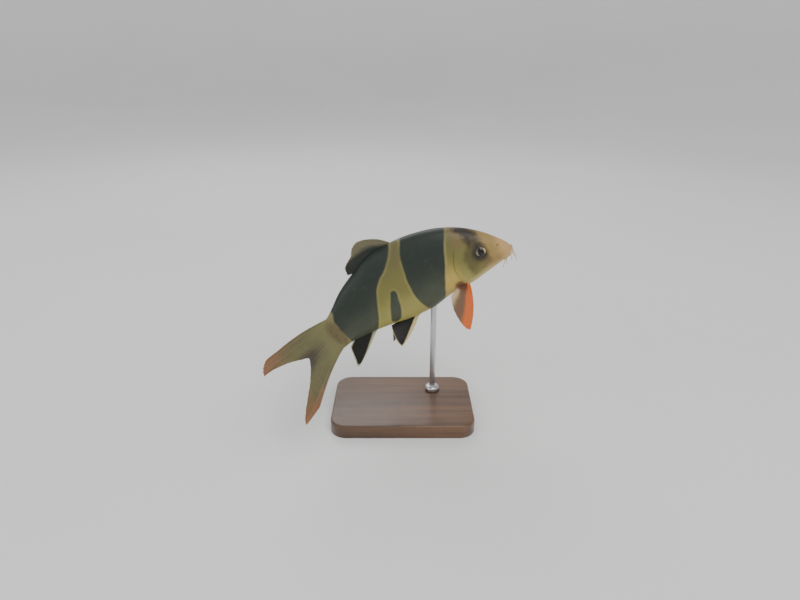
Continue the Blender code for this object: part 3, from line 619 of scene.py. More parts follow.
def pectoral_colour(fin_of, share, out, crest, wander):
    """Orange-red first rays, painted brown shade behind them, painted dark red shade and a painted cream
    highlight at the root, and a pale last ray.
    """
    # Painted shade: brown on the membrane behind the orange rays and dark red at the root; painted
    # highlight: cream at the root of the first rays.
    orange = (share + wander * 0.10 - (1.0 - out) * 0.10).rise(0.42, 0.26)
    pit = (out - share * 0.40 + wander * 0.10).rise(0.20, 0.04) * (share + wander * 0.1).rise(0.24, 0.36)
    cream = (out + wander * 0.1).rise(0.16, 0.05) * share.rise(0.4, 0.1) * 0.5
    arc = (share + wander * 0.08).rise(0.60, 0.95) * out.rise(0.25, 0.5)
    return fin_of.laid(PECTORAL_SHADE_BROWN, (PECTORAL_ORANGE, orange),
                       (PECTORAL_CREAM, ramp_share(cream + arc, 0.62)), (ARMPIT_SHADE_RED, pit * 0.90))


def eye_finish():
    """A glossy eye: an upright oval pupil in a silver and gold iris, crossed by the dark band."""
    eye_of = Finish("loach_eye", {"Coat Weight": 0.7, "Coat Roughness": 0.03, "Coat IOR": 1.40,
                                  "Specular IOR Level": 0.2})
    along, up, _ = eye_of.parts(eye_of.place("gaze"))
    ahead = (along + 0.05) / 0.76
    oval = (ahead * ahead + up * up).power(0.5)
    radius = (along * along + up * up).power(0.5)
    turn = up.maths("ARCTAN2", up, ahead)
    wheel = eye_of.node("CombineXYZ", {}, {"X": turn * 9.0, "Y": oval * 3.0})
    rays = eye_of.node("TexNoise", {"noise_dimensions": "2D"}, {"Vector": wheel, "Scale": 2.0})
    barred = (abs(up) + rays * 0.25 - abs(along) * 0.35).rise(0.16, 0.46)
    colour = eye_of.laid(
        IRIS_SILVER,
        (IRIS_GOLD, (along + rays * 0.4).rise(0.0, 0.70)),
        (IRIS_DARK, (rays - 0.45).rise(0.0, 0.2) * 0.5),
        (IRIS_DARK, barred * 0.90),
        (IRIS_DARK, radius.rise(0.92, 1.0) * 0.85),
        (IRIS_GOLD, oval.rise(0.82, 0.76) * (1.0 - barred) * 0.5),
        (PUPIL_BLACK, oval.rise(0.76, 0.70)))
    eye_of.set(Base_Color=colour, Roughness=0.25 + oval.rise(0.70, 0.78) * 0.15,
               Metallic=oval.rise(0.72, 0.78) * 0.30,
               Normal=eye_of.bump(rays * oval.rise(0.72, 0.80), 0.00008, 0.6))
    return eye_of.material


def barbel_finish():
    """Pink flesh, olive at the root, with fine rings."""
    flesh = Finish("barbel_flesh", {"Coat Weight": 0.3, "Coat Roughness": 0.2, "Subsurface Weight": 0.25,
                                    "Subsurface Radius": (0.6, 0.3, 0.2), "Subsurface Scale": 0.001})
    run = flesh.mark("run")
    grain = flesh.noise(flesh.place(), 1300, 3)
    rings = (run * 260.0 + grain * 4.0).sine()
    colour = flesh.mix(BARBEL_OLIVE, BARBEL_PINK, (run + grain * 0.3).rise(0.02, 0.28))
    flesh.set(Base_Color=colour, Roughness=0.38 + grain * 0.2,
              Normal=flesh.bump(rings * 0.5 + grain, 0.00005, 0.6))
    return flesh.material


def wood_finish():
    """Dark oiled wood, its grain along the base, with open pores."""
    wood = Finish("dark_wood", {"Coat Weight": 0.25, "Coat Roughness": 0.25})
    place = wood.object_place()
    drift = wood.noise(wood.stretched(place, (6.0, 30.0, 30.0)), 1.0, 3)
    lines = wood.noise(wood.stretched(place, (12.0, 260.0, 260.0)), 1.0, 5, 0.6)
    pores = wood.noise(wood.stretched(place, (120.0, 2200.0, 2200.0)), 1.0, 2)
    grain = drift * 0.9 + lines
    colour = wood.mix((0.050, 0.024, 0.012), (0.17, 0.085, 0.040), grain.rise(-0.35, 0.35))
    colour = wood.mix(colour, (0.020, 0.010, 0.006), pores.rise(0.14, 0.26) * 0.8)
    wood.set(Base_Color=colour, Roughness=0.40 + lines * 0.25,
             Normal=wood.bump(lines * 0.4 - pores.rise(0.14, 0.26), 0.00012, 0.6))
    return wood.material


def steel_finish():
    """Fine turned steel, brushed round its axis."""
    steel = Finish("turned_steel", {"Metallic": 1.0})
    place = steel.object_place()
    rings = steel.noise(steel.stretched(place, (20.0, 20.0, 2500.0)), 1.0, 2)
    cloud = steel.noise(place, 90, 3)
    colour = steel.mix((0.50, 0.50, 0.51), (0.62, 0.62, 0.63), (rings + cloud).rise(-0.5, 0.5))
    steel.set(Base_Color=colour, Roughness=0.30 + rings * 0.10 + cloud * 0.10)
    return steel.material


def floor_finish():
    floor_of = Finish("pale_floor", {"Roughness": 0.85, "Emission Strength": 1.0})
    place = floor_of.object_place()
    cloud = floor_of.noise(place, 3.0, 3)
    _, _, height = floor_of.parts(place)
    floor_of.set(Base_Color=floor_of.mix((0.78, 0.78, 0.77), (0.82, 0.82, 0.81), cloud.rise(-0.4, 0.4)),
                 Emission_Color=floor_of.mix(FLOOR_GLOW, WALL_GLOW, height.rise(0.0, 1.2)))
    return floor_of.material


# The skin: one sheet of head, trunk and tail, laid out flat, cut finer where the face is, and rolled up

SKIN_SIDES = 176
SCALE_LENGTH = 0.00050
SCALE_WIDTH = 0.00036
GILL_RING = 0.262
RING_RUNS = [(0.0, NOSE_LENGTH, 14), (NOSE_LENGTH, GILL_RING - 0.0015, 104),
             (GILL_RING - 0.0015, GILL_RING + 0.0015, 4), (GILL_RING + 0.0015, 0.86, 146),
             (0.86, 1 - TAIL_END, 26), (1 - TAIL_END, 1.0, 10)]

EYE_STATION = 0.138
EYE_HEIGHT = 0.013
EYE_RADIUS = 0.0042
EYE_DEPTH = 0.0027
EYE_SINK = 0.0014
EYE_RIM = 0.0040
NOSTRIL_STATION = 0.055
NOSTRIL_HEIGHT = 0.004
MOUTH_CORNER = 0.047
MOUTH_DEPTH = 0.030
MOUTH_HALF_WIDTH = 0.0235
COVER_LENGTH = 0.030

# How far the skin's forms stand out of it or lie below it
COVER_LIFT, COVER_GROOVE = 0.00045, 0.00040
EYE_RIM_LIFT, BROW_LIFT, SOCKET_DEPTH = 0.00042, 0.00022, 0.0016
SPINE_SLOT_DEPTH = 0.00022
FLAP_LIFT, NOSTRIL_DEPTH = 0.00075, 0.0006
LIP_LIFT, MOUTH_SLIT_DEPTH = 0.00048, 0.00055
ROOT_FOLD_LIFT, SHOULDER_LIFT, HIP_LIFT, VENT_LIFT = 0.00035, 0.0007, 0.0005, 0.0004
TAIL_END_THINNING = 0.0010
FLANK_LINE_DEPTH, MUSCLE_FOLD_LIFT = 0.00010, 0.00003

# How wide the finer skin reaches round the eye, the nostrils and the mouth, and how deep below the
# skin a point may lie and still be on the same side
EYE_REACH, NOSTRIL_REACH, MOUTH_REACH = 0.0062, 0.0032, 0.0022
EYE_SIDE, NOSTRIL_SIDE = -0.004, -0.003


def ring_stations():
    """Stations of the skin's rings, rounded off at both ends."""
    stations = [np.linspace(low, high, count, endpoint=False) for low, high, count in RING_RUNS] + [[1.0]]
    nose_rings, end_rings = RING_RUNS[0][2], RING_RUNS[-1][2]
    quarter = math.pi / 2
    stations[0] = NOSE_LENGTH * (1 - np.cos(quarter * np.arange(nose_rings) / nose_rings))
    stations[-2] = 1 - TAIL_END + TAIL_END * np.sin(quarter * np.arange(end_rings) / end_rings)
    return np.concatenate(stations)


def along_gill_edge(station, angle):
    """Moves the rings near the gill cover so that one of them lies along its rear edge."""
    height = skin(station, angle)[:, 2] / BODY_LENGTH
    window = ramp((station - 0.12) / 0.13) * ramp((0.44 - station) / 0.16)
    window = window * window * (3 - 2 * window)
    for _ in range(3):
        moved = station + (gill_edge(height) - GILL_RING) * window
        height = skin(moved, angle)[:, 2] / BODY_LENGTH
    return moved


def girth_at(station, angle):
    """How far round the body from the back each place is, in metres."""
    stations, turns = np.meshgrid(np.linspace(0, 1, 81), np.linspace(0, math.pi, 121), indexing="ij")
    steps = np.linalg.norm(np.diff(skin(stations, turns), axis=1), axis=2)
    lengths = np.pad(np.cumsum(steps, axis=1), ((0, 0), (1, 0)))
    row, column = station * 80, np.abs(angle) / math.pi * 120
    low_row, low_column = np.minimum(row.astype(int), 79), np.minimum(column.astype(int), 119)
    down, over = row - low_row, column - low_column
    near = lengths[low_row, low_column] * (1 - over) + lengths[low_row, low_column + 1] * over
    far = lengths[low_row + 1, low_column] * (1 - over) + lengths[low_row + 1, low_column + 1] * over
    return near * (1 - down) + far * down


def distance_to(points, line):
    """How far points are from a line of points, and how far along it from 0 to 1 they are nearest."""
    nearest = np.full(len(points), 1.0)
    where = np.zeros(len(points))
    for i, (a, b) in enumerate(zip(line[:-1], line[1:])):
        share = ramp((points - a) @ (b - a) / ((b - a) @ (b - a)))
        gap = np.linalg.norm(points - a - share[:, None] * (b - a), axis=1)
        closer = gap < nearest
        nearest[closer] = gap[closer]
        where[closer] = (i + share[closer]) / (len(line) - 1)
    return nearest, where


def mouth_line():
    """A horseshoe on the underside of the snout, open to the rear."""
    turns = np.linspace(-math.pi / 2, math.pi / 2, 33)
    return np.array([belly_seat(MOUTH_CORNER - MOUTH_DEPTH * math.cos(t), MOUTH_HALF_WIDTH * math.sin(t))[0]
                     for t in turns])


def mirrored(points):
    """Points with both sides of the fish laid on the left one."""
    return np.stack((points[:, 0], np.abs(points[:, 1]), points[:, 2]), -1)


def near_place(points, station, height):
    """Offsets of points from a place on the side, as lengths along, up and out of the skin there."""
    here, out, along, up = side_seat(station, height, 1)
    offset = mirrored(points) - np.array(here)
    return [offset @ np.array(way) for way in (along, up, out)]


def mound(points, place, width):
    """A hump round a place."""
    return hump(np.linalg.norm(points - np.array(place), axis=1), width)


def skin_relief(points, station):
    """How far the skin stands out from the plain body, how dark the painted shade in its creases is, and
    where the lips are.
    """
    height = points[:, 2] / BODY_LENGTH
    relief = np.zeros(len(points))

    behind = station - gill_edge(height)
    window = ramp((0.09 - height) / 0.05) * ramp((height + 0.135) / 0.03)
    cover = np.where(behind <= 0.0003, COVER_LIFT * hump(behind, COVER_LENGTH), 0.0)
    groove = np.where(behind > 0.0003, -COVER_GROOVE * hump(behind, 0.010), 0.0)
    relief += window * (cover + groove)
    # Painted shade gathers in the creases: behind the gill cover, round the eye, in the spine slot, the
    # nostril pits and the mouth slit
    crease_shade = window * hump(behind - 0.002, 0.0026) * 0.36

    along, up, out = near_place(points, EYE_STATION, EYE_HEIGHT)
    gap = np.hypot(along, up)
    facing = out > EYE_SIDE
    relief += facing * EYE_RIM_LIFT * hump(gap - EYE_RIM, 0.0006)
    relief -= facing * SOCKET_DEPTH * ramp((EYE_RIM - 0.0003 - gap) / 0.0006)
    relief += facing * BROW_LIFT * hump(gap - 0.0066, 0.0012) * ramp(up / 0.004)
    crease_shade += facing * ramp((EYE_RIM - 0.0002 - gap) / 0.0004)
    spine_slot = hump(up + 0.0055 + (along - 0.001) * 0.16, 0.00028) * hump(along - 0.001, 0.0030) * facing
    relief -= SPINE_SLOT_DEPTH * spine_slot
    crease_shade += 0.35 * spine_slot

    along, up, out = near_place(points, NOSTRIL_STATION, NOSTRIL_HEIGHT)
    facing = out > NOSTRIL_SIDE
    rear_pit = hump(np.hypot(along + 0.0009, up * 0.8), 0.00055)
    pit = np.maximum(rear_pit, hump(np.hypot(along - 0.0008, up), 0.00045))
    flap = hump(along - 0.0001, 0.00038) * hump(up, 0.0010)
    relief += facing * (FLAP_LIFT * flap - NOSTRIL_DEPTH * pit * (1 - flap))
    crease_shade += facing * pit * (1 - flap) * 0.9

    gap, where = distance_to(points, mouth_line())
    ends = np.sin(math.pi * where) ** 0.5
    slit = hump(gap, 0.00026)
    lips = hump(gap - 0.00085, 0.00055) * ends
    papillae = 1 + 0.25 * np.sin(where * 130) * ends
    relief += LIP_LIFT * lips * papillae - MOUTH_SLIT_DEPTH * slit
    crease_shade += slit

    folds = root_fold(points, dorsal_root, DORSAL_SINK) + root_fold(points, anal_root, -ANAL_SINK)
    relief += ROOT_FOLD_LIFT * folds
    for side in (-1, 1):
        relief += SHOULDER_LIFT * mound(points, side_seat(0.258, -0.104, side)[0], 0.0032)
        relief += HIP_LIFT * mound(points, belly_seat(0.553, 0.030 * side)[0], 0.0026)
    relief -= TAIL_END_THINNING * ramp((station - 0.93) / 0.05) ** 2 * ramp(np.abs(points[:, 1]) / 0.0015)
    relief += VENT_LIFT * mound(points, belly_seat(0.722, 0.001)[0], 0.0014)

    flank = ramp((station - 0.28) / 0.05) * ramp((0.97 - station) / 0.05)
    line_height = 0.010 + 0.030 * ramp((0.45 - station) / 0.2) ** 2
    relief -= FLANK_LINE_DEPTH * flank * hump(height - line_height, 0.0022)
    fold = np.sin((station - 0.10 * np.abs(height - line_height)) * 2 * math.pi * 36)
    relief += MUSCLE_FOLD_LIFT * flank * fold * hump(height - line_height, 0.10)
    return relief, ramp(crease_shade), ramp(lips * 1.2)


def root_fold(points, root_of, sink):
    """The low fold of skin that a middle fin rises from."""
    ahead, height = root_of(np.linspace(0, 1, 9))
    line = np.stack((ahead, 0 * ahead, height + sink), -1) * BODY_LENGTH
    return hump(distance_to(points, line)[0], 0.0016)


def inside_band(station, height, front, rear):
    """How deep inside a band each place is, in metres, and less than 0 outside it."""
    depths = []
    for edge, side in ((front, 1), (rear, -1)):
        edge_at = smooth_through(edge)
        slope = (edge_at(height + 0.004) - edge_at(height - 0.004)) / 0.008
        depths.append(side * (station - edge_at(height)) * BODY_LENGTH / np.sqrt(1 + slope ** 2))
    return np.minimum(*depths)


def inside_spot(station, height):
    """How deep inside the oval spot, which narrows towards its top, each place is, in metres."""
    spots = np.stack((station, np.zeros(len(station)), height), -1)
    top, foot = (np.array((s, 0.0, h)) for s, h in (SPOT_TOP, SPOT_FOOT))
    gap, where = distance_to(spots, np.array([top, foot]))
    return (SPOT_HALF_WIDTH * (0.58 + 0.42 * np.sin(ramp(where) * 2.0)) - gap) * BODY_LENGTH


def make_skin():
    stations = ring_stations()
    rings = len(stations) - 1
    sheet = start("loach_skin", bpy.ops.mesh.primitive_grid_add, x_subdivisions=rings,
                  y_subdivisions=SKIN_SIDES, size=1)
    run, around, _ = numbers_of(sheet.data.polygons, "center", 3).T + 0.5
    middles = skin(np.interp(run * rings, np.arange(rings + 1), stations), (around * 2 - 1) * math.pi)
    along, up, out = near_place(middles, EYE_STATION, EYE_HEIGHT)
    face = (np.hypot(along, up) < EYE_REACH) & (out > EYE_SIDE)
    along, up, out = near_place(middles, NOSTRIL_STATION, NOSTRIL_HEIGHT)
    face |= (np.hypot(along, up) < NOSTRIL_REACH) & (out > NOSTRIL_SIDE)
    face |= distance_to(middles, mouth_line())[0] < MOUTH_REACH
    edit_chosen(sheet, "FACE", face, bpy.ops.mesh.subdivide, number_cuts=2, ngon=False)

    run, around, _ = (points_of(sheet) + 0.5).T
    angle = (around * 2 - 1) * math.pi
    station = along_gill_edge(np.interp(run * rings, np.arange(rings + 1), stations), angle)
    set_points(sheet, skin(station, angle))
    mark(sheet, "station", station)
    mark(sheet, "rows", np.stack((station * BODY_LENGTH, girth_at(station, angle), 0 * station), -1))
    close_up(sheet)
    points = points_of(sheet)
    station = numbers_of(sheet.data.attributes["station"].data, "value", 1, np.float32)[:, 0]
    height = points[:, 2] / BODY_LENGTH
    relief, crease_shade, lips = skin_relief(points, station)
    mark(sheet, "straight", points)
    mark(sheet, "crease_shade", crease_shade)
    mark(sheet, "lips", lips)
    for band, (front, rear) in BANDS.items():
        mark(sheet, band, inside_band(station, height, front, rear))
    mark(sheet, "flank_spot", inside_spot(station, height))
    along, up, _ = near_place(points, EYE_STATION, EYE_HEIGHT)
    mark(sheet, "eye_gap", np.hypot(along, up))
    # Painted shade in the armpits, round a place behind each pectoral fin's root.
    pits = [side_seat(0.292, -0.102, side)[0] for side in (-1, 1)]
    mark(sheet, "armpit_shade", sum(mound(points, pit, 0.0044) for pit in pits))
    normals = numbers_of(sheet.data.vertices, "normal", 3)
    set_points(sheet, posed(points + normals * relief[:, None]))
    finish_piece(sheet, skin_finish(), "skin_trunk", "head", "trunk", "tail", sharp=70)


# Eyes and barbels

def make_eye(side, finish):
    name = "right" if side < 0 else "left"
    eye = start("loach_eye_" + name, bpy.ops.mesh.primitive_uv_sphere_add, segments=64, ring_count=40,
                radius=1)
    gaze = points_of(eye)
    here, out, along, up = (np.array(v) for v in side_seat(EYE_STATION, EYE_HEIGHT, side))
    bulge = 1 + 0.12 * hump(np.hypot(gaze[:, 0], gaze[:, 1]), 0.55) * (gaze[:, 2] > 0)
    points = (here - out * EYE_SINK + gaze[:, :1] * along * EYE_RADIUS + gaze[:, 1:2] * up * EYE_RADIUS +
              (gaze[:, 2] * bulge)[:, None] * out * EYE_DEPTH)
    mark(eye, "gaze", gaze)
    set_points(eye, posed(points))
    close_up(eye)
    finish_piece(eye, finish, "eye", "eye_" + name, sharp=90)


# Station, share to the side, height share or None for the underside, first direction (ahead, out,
# down), length and droop
BARBELS = {
    "rostral_inner": (0.0060, 0.008, -0.044, (0.05, 0.20, 0.97), 0.080, 0.02),
    "rostral_outer": (0.0120, 0.017, -0.052, (-0.20, 0.60, 0.80), 0.060, 0.05),
    "maxillary": (0.0480, 0.026, None, (-0.60, 0.35, 0.75), 0.055, 0.10),
    "mandibular": (0.0460, 0.010, None, (-0.20, 0.25, 0.95), 0.034, 0.08),
}
BARBEL_ROOT = 0.00060
BARBEL_TIP = 0.00020
BARBEL_BENDS = 12


def barbel_path(kind, side):
    """Points along a drooping feeler, from just inside the skin to its tip."""
    station, across, height, first, length, droop = BARBELS[kind]
    if height is None:
        root = belly_seat(station, across * side)[0]
    else:
        root = Vector((0.5 - station, across * side, height)) * BODY_LENGTH
    heading = unit(first[0], first[1] * side, -first[2])
    step = length * BODY_LENGTH / (BARBEL_BENDS - 1)
    points = [root - heading * step * 0.6]
    for _ in range(BARBEL_BENDS - 1):
        points.append(points[-1] + heading * step)
        heading = (heading + Vector((-0.35, 0, -1)) * droop * 0.5).normalized()
    return points


def make_barbel(kind, side, finish):
    """A round feeler with a swollen root, swept along its path."""
    word = "right" if side < 0 else "left"
    path = barbel_path(kind, side)
    barbel = start(f"loach_barbel_{kind}_{word}", bpy.ops.mesh.primitive_grid_add,
                   x_subdivisions=48, y_subdivisions=14, size=1)
    run, around, _ = (points_of(barbel) + 0.5).T
    place = np.linspace(0, 1, BARBEL_BENDS)
    line = [smooth_through([(t, p[i]) for t, p in zip(place, path)]) for i in range(3)]
    middle = np.stack([axis(run) for axis in line], -1)
    ahead = np.stack([axis(run + 0.01) - axis(run - 0.01) for axis in line], -1)
    ahead /= np.linalg.norm(ahead, axis=1)[:, None]
    across = np.cross(ahead, (0, 0, 1.0))
    across /= np.linalg.norm(across, axis=1)[:, None]
    over = np.cross(across, ahead)
    radius = BARBEL_ROOT + (BARBEL_TIP - BARBEL_ROOT) * run ** 0.9 + 0.00045 * hump(run - 0.05, 0.06)
    radius = radius * np.sqrt(np.maximum(0.0, 1 - ramp((run - 0.985) / 0.015) ** 2))
    radius = np.where(run < 1e-6, 0.0, radius)
    turn = around * 2 * math.pi
    points = middle + radius[:, None] * (across * np.cos(turn)[:, None] + over * np.sin(turn)[:, None])
    mark(barbel, "run", run)
    mark(barbel, "straight", points)
    set_points(barbel, posed(points))
    close_up(barbel)
    finish_piece(barbel, finish, "barbel", f"barbel_{kind}_{word}", sharp=90)


# Fins

RAY_STEPS = 16
FIN_MEMBRANE = 0.00016
EDGE_NOTCH = 0.009

# Key rays: share along the root, angle from straight back and length in shares
DORSAL_RAYS = [(0, 57, 0.100), (0.1, 57, 0.125), (0.2, 56, 0.140), (0.3, 54, 0.145), (0.4, 47, 0.140),
               (0.55, 39, 0.115), (0.75, 33, 0.105), (0.9, 32, 0.090), (1, 20, 0.065)]
ANAL_RAYS = [(0, -36, 0.200), (0.15, -37, 0.208), (0.3, -37, 0.200), (0.5, -37, 0.170), (0.75, -32, 0.118),
             (1, -23, 0.065)]
TAIL_RAYS = [(0, 18, 0.370), (0.035, 18, 0.410), (0.07, 16, 0.435), (0.11, 12, 0.440), (0.2, 13, 0.380),
             (0.325, 12, 0.290), (0.425, 9, 0.225), (0.5, 4, 0.180), (0.565, -4, 0.205),
             (0.65, -9, 0.245), (0.75, -12, 0.300), (0.85, -15, 0.370), (0.925, -17.5, 0.425),
             (0.965, -18, 0.390), (1, -18, 0.355)]
PECTORAL_RAYS = [(0, 15, 0.245), (0.2, 8, 0.235), (0.5, -7, 0.185), (0.75, -23, 0.132), (1, -34, 0.096)]
PELVIC_RAYS = [(0, 4, 0.200), (0.33, -6, 0.190), (0.66, -21, 0.165), (1, -38, 0.140)]

# How far the first ray and the last curve on their way out, in degrees
DORSAL_BOW, ANAL_BOW, TAIL_BOW = (-20, -6), (16, 5), (-5, 5)
PECTORAL_BOW, PELVIC_BOW = (-40, -12), (-34, -10)

# Rays of each fin, and rows of its mesh from root to edge
DORSAL_GRID, ANAL_GRID, TAIL_GRID = (12, 60), (8, 56), (19, 84)
PECTORAL_GRID, PELVIC_GRID = (12, 64), (8, 56)

# Thickness of the rays and of the root
DORSAL_WALL = (0.00050, 0.0010)
DARK_WALL = (0.00045, 0.0010)
TAIL_WALL = (0.00055, 0.0026)
PECTORAL_WALL = (0.00070, 0.0012)

# Roots of the middle fins: stations, and how far the root is sunk in the back or the belly
DORSAL_FRONT, DORSAL_REAR, DORSAL_SINK = 0.490, 0.695, 0.025
ANAL_FRONT, ANAL_REAR, ANAL_SINK = 0.742, 0.870, 0.020
TAIL_ROOT, TAIL_ROOT_LEAD, TAIL_ROOT_HEIGHT = 0.974, 0.050, 0.071

# Paired fins: root place, root width, depth of the cupped blade, and how far the root is sunk
PECTORAL_STATION, PECTORAL_HEIGHT, PECTORAL_WIDTH, PECTORAL_CUP = 0.264, -0.104, 0.030, 0.012
PELVIC_STATION, PELVIC_ACROSS, PELVIC_WIDTH, PELVIC_CUP = 0.560, 0.030, 0.022, 0.008
PAIRED_SINK = 0.018

# The way each paired fin's rays point, and the way to its first ray
PECTORAL_WAYS = {-1: (unit(-0.063, -0.100, -0.194), unit(1, 0.1, -0.2)),
                 1: (unit(-0.17, 0.12, -0.09), unit(0.4, 0.8, -0.1))}
PELVIC_WAYS = {-1: (unit(-0.120, -0.050, -0.088), unit(0.5, -0.5, -0.6)),
               1: (unit(-0.105, 0.036, -0.100), unit(0.5, 0.5, -0.6))}


def ray_crest(share, out, rays):
    """1 on a ray and 0 between rays. Each ray but the first and the last forks twice on its way out."""
    place = share * (rays - 1)
    forks = ramp((place - 0.4) / 0.3) * ramp((rays - 1.4 - place) / 0.3)
    off = np.abs(place - np.round(place))
    off = np.abs(off - 0.25 * ramp((out - 0.35) / 0.55) * forks)
    off = np.abs(off - 0.125 * ramp((out - 0.68) / 0.32) * forks)
    return hump(off, 0.16 - 0.085 * out * forks)


def make_fan(name, nodes, place, key_rays, grid, bow, wall, finish, slot):
    """A fin: a fan of forked rays in a thin membrane. place(share, back, up, out) gives its points."""
    rays, rows = grid
    ray_thickness, root_thickness = wall
    fin = start(name, bpy.ops.mesh.primitive_grid_add, x_subdivisions=(rays - 1) * RAY_STEPS,
                y_subdivisions=rows, size=1)
    share, out, _ = (points_of(fin) + 0.5).T
    crest = ray_crest(share, out, rays)
    bend = np.interp(share, (0, 1), bow) * out / 2
    angle = np.radians(smooth_through([k[:2] for k in key_rays])(share) + bend)
    length = smooth_through([(k[0], k[2]) for k in key_rays])(share)
    uneven = np.sin(share * 37.0) * np.sin(share * 91.0 + 1.0) * 0.006
    reach = length * out * (1 - (EDGE_NOTCH * (1 - crest) + uneven) * out ** 4)
    points = place(share, reach * np.cos(angle), reach * np.sin(angle), out)
    mark(fin, "straight", points)
    mark(fin, "fan", np.stack((share, out, crest), -1))
    set_points(fin, points)
    ray = ray_thickness * (1 - 0.82 * out) * crest
    thick = np.maximum(ray, FIN_MEMBRANE * (1 - 0.45 * out)) + root_thickness * hump(out, 0.12)
    thick *= 1 - 0.5 * ramp((out - 0.985) / 0.015)
    group = fin.vertex_groups.new(name="thick")
    for index, weight in enumerate(thick / thick.max()):
        group.add([index], float(weight), "REPLACE")
    solid = fin.modifiers.new("wall", "SOLIDIFY")
    solid.thickness = thick.max()
    solid.offset = 0
    solid.vertex_group = "thick"
    solid.use_even_offset = False
    select_only(fin)
    bpy.ops.object.modifier_apply(modifier="wall")
    fin.vertex_groups.clear()
    set_points(fin, posed(points_of(fin)))
    finish_piece(fin, finish, slot, *nodes, sharp=80)


def middle_place(root_of, sway):
    """Places of a fin on the fish's middle plane, which sways sideways."""
    def place(share, back_by, up_by, out):
        ahead, height = root_of(share)
        return np.stack((ahead - back_by, sway(share, out), height + up_by), -1) * BODY_LENGTH
    return place


def paired_place(root, way, root_width, cup):
    """Places of a fin on one side, cupped a little. way has the rays' way and the way to the first."""
    along, lead = way
    normal = along.cross(lead).normalized()
    across = normal.cross(along).normalized()
    root = np.array(root - along * PAIRED_SINK * BODY_LENGTH)

    def place(share, back_by, up_by, out):
        lift = cup * out * out * np.sin(math.pi * share)
        ways = (((0.5 - share) * root_width + up_by, across), (back_by, along), (lift, normal))
        return root + sum(by[:, None] * np.array(axis) * BODY_LENGTH for by, axis in ways)
    return place


def dorsal_root(share):
    station = DORSAL_FRONT + (DORSAL_REAR - DORSAL_FRONT) * share
    return 0.5 - station, back(station) - DORSAL_SINK


def dorsal_sway(share, out):
    return 0.012 * out * np.sin(2.4 * share + 0.4)


def anal_root(share):
    station = ANAL_FRONT + (ANAL_REAR - ANAL_FRONT) * share
    return 0.5 - station, belly(station) + ANAL_SINK


def anal_sway(share, out):
    return -0.008 * out * np.sin(2.0 * share)


def tail_inner(share):
    """0 at the tail fin's two outer edges and 1 at its middle ray."""
    return 1 - np.abs(2 * share - 1)


def tail_root(share):
    """The outer rays start further forward, along the edges of the tail's root."""
    station = TAIL_ROOT - TAIL_ROOT_LEAD * (1 - ramp(tail_inner(share) / 0.4)) ** 2
    return 0.5 - station, TAIL_ROOT_HEIGHT * (1 - 2 * share)


def tail_sway(share, out):
    return -0.055 * out * out * (1 - 0.7 * tail_inner(share))


def make_fins():
    dark = fin_finish("dorsal_membrane", dorsal_colour, 0.93)
    black = fin_finish("anal_membrane", anal_colour, 0.98)
    pelvic = fin_finish("pelvic_membrane", pelvic_colour, 0.98)
    pale = fin_finish("tail_membrane", tail_colour, 0.90)
    orange = fin_finish("pectoral_membrane", pectoral_colour, 0.80)
    make_fan("loach_dorsal_fin", ["dorsal_fin"], middle_place(dorsal_root, dorsal_sway), DORSAL_RAYS,
             DORSAL_GRID, DORSAL_BOW, DORSAL_WALL, dark, "fin_dark")
    make_fan("loach_anal_fin", ["anal_fin"], middle_place(anal_root, anal_sway), ANAL_RAYS,
             ANAL_GRID, ANAL_BOW, DARK_WALL, black, "fin_dark")
    make_fan("loach_tail_fin", ["tail_fin_upper", "tail_fin_lower"], middle_place(tail_root, tail_sway),
             TAIL_RAYS, TAIL_GRID, TAIL_BOW, TAIL_WALL, pale, "fin_pale")
    for word, side in (("right", -1), ("left", 1)):
        root = side_seat(PECTORAL_STATION, PECTORAL_HEIGHT, side)[0]
        place = paired_place(root, PECTORAL_WAYS[side], PECTORAL_WIDTH, PECTORAL_CUP)
        make_fan(f"loach_pectoral_fin_{word}", [f"pectoral_fin_{word}"], place, PECTORAL_RAYS,
                 PECTORAL_GRID, PECTORAL_BOW, PECTORAL_WALL, orange, "fin_orange")
        root = belly_seat(PELVIC_STATION, PELVIC_ACROSS * side)[0]
        place = paired_place(root, PELVIC_WAYS[side], PELVIC_WIDTH, PELVIC_CUP)
        make_fan(f"loach_pelvic_fin_{word}", [f"pelvic_fin_{word}"], place, PELVIC_RAYS,
                 PELVIC_GRID, PELVIC_BOW, DARK_WALL, pelvic, "fin_dark")


# Stand

def edge_heights(piece):
    """The heights of both ends of every edge."""
    return points_of(piece)[numbers_of(piece.data.edges, "vertices", 2, int)][:, :, 2]


def bevel_edges(piece, chosen, width, segments):
    edit_chosen(piece, "EDGE", chosen, bpy.ops.mesh.bevel, offset=width, segments=segments, affect="EDGES")


def bevel_level(piece, height, width, segments):
    """Rounds the edges that lie at one height."""
    level = (np.abs(edge_heights(piece) - height) < SAME_LEVEL).all(axis=1)
    bevel_edges(piece, level, width, segments)


def make_base(finish):
    low, high = (Vector(corner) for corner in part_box("stand_base"))
    base = start("display_base", bpy.ops.mesh.primitive_cube_add, size=1, location=(low + high) / 2,
                 scale=high - low)
    upright = np.abs(np.diff(edge_heights(base))[:, 0]) > (high - low).z / 2
    bevel_edges(base, upright, BASE_CORNER, 16)
    bevel_level(base, high.z, BASE_EDGE, 6)
    bevel_level(base, low.z, BASE_EDGE / 3, 2)
    finish_piece(base, finish, "wood", "stand_base", sharp=30)


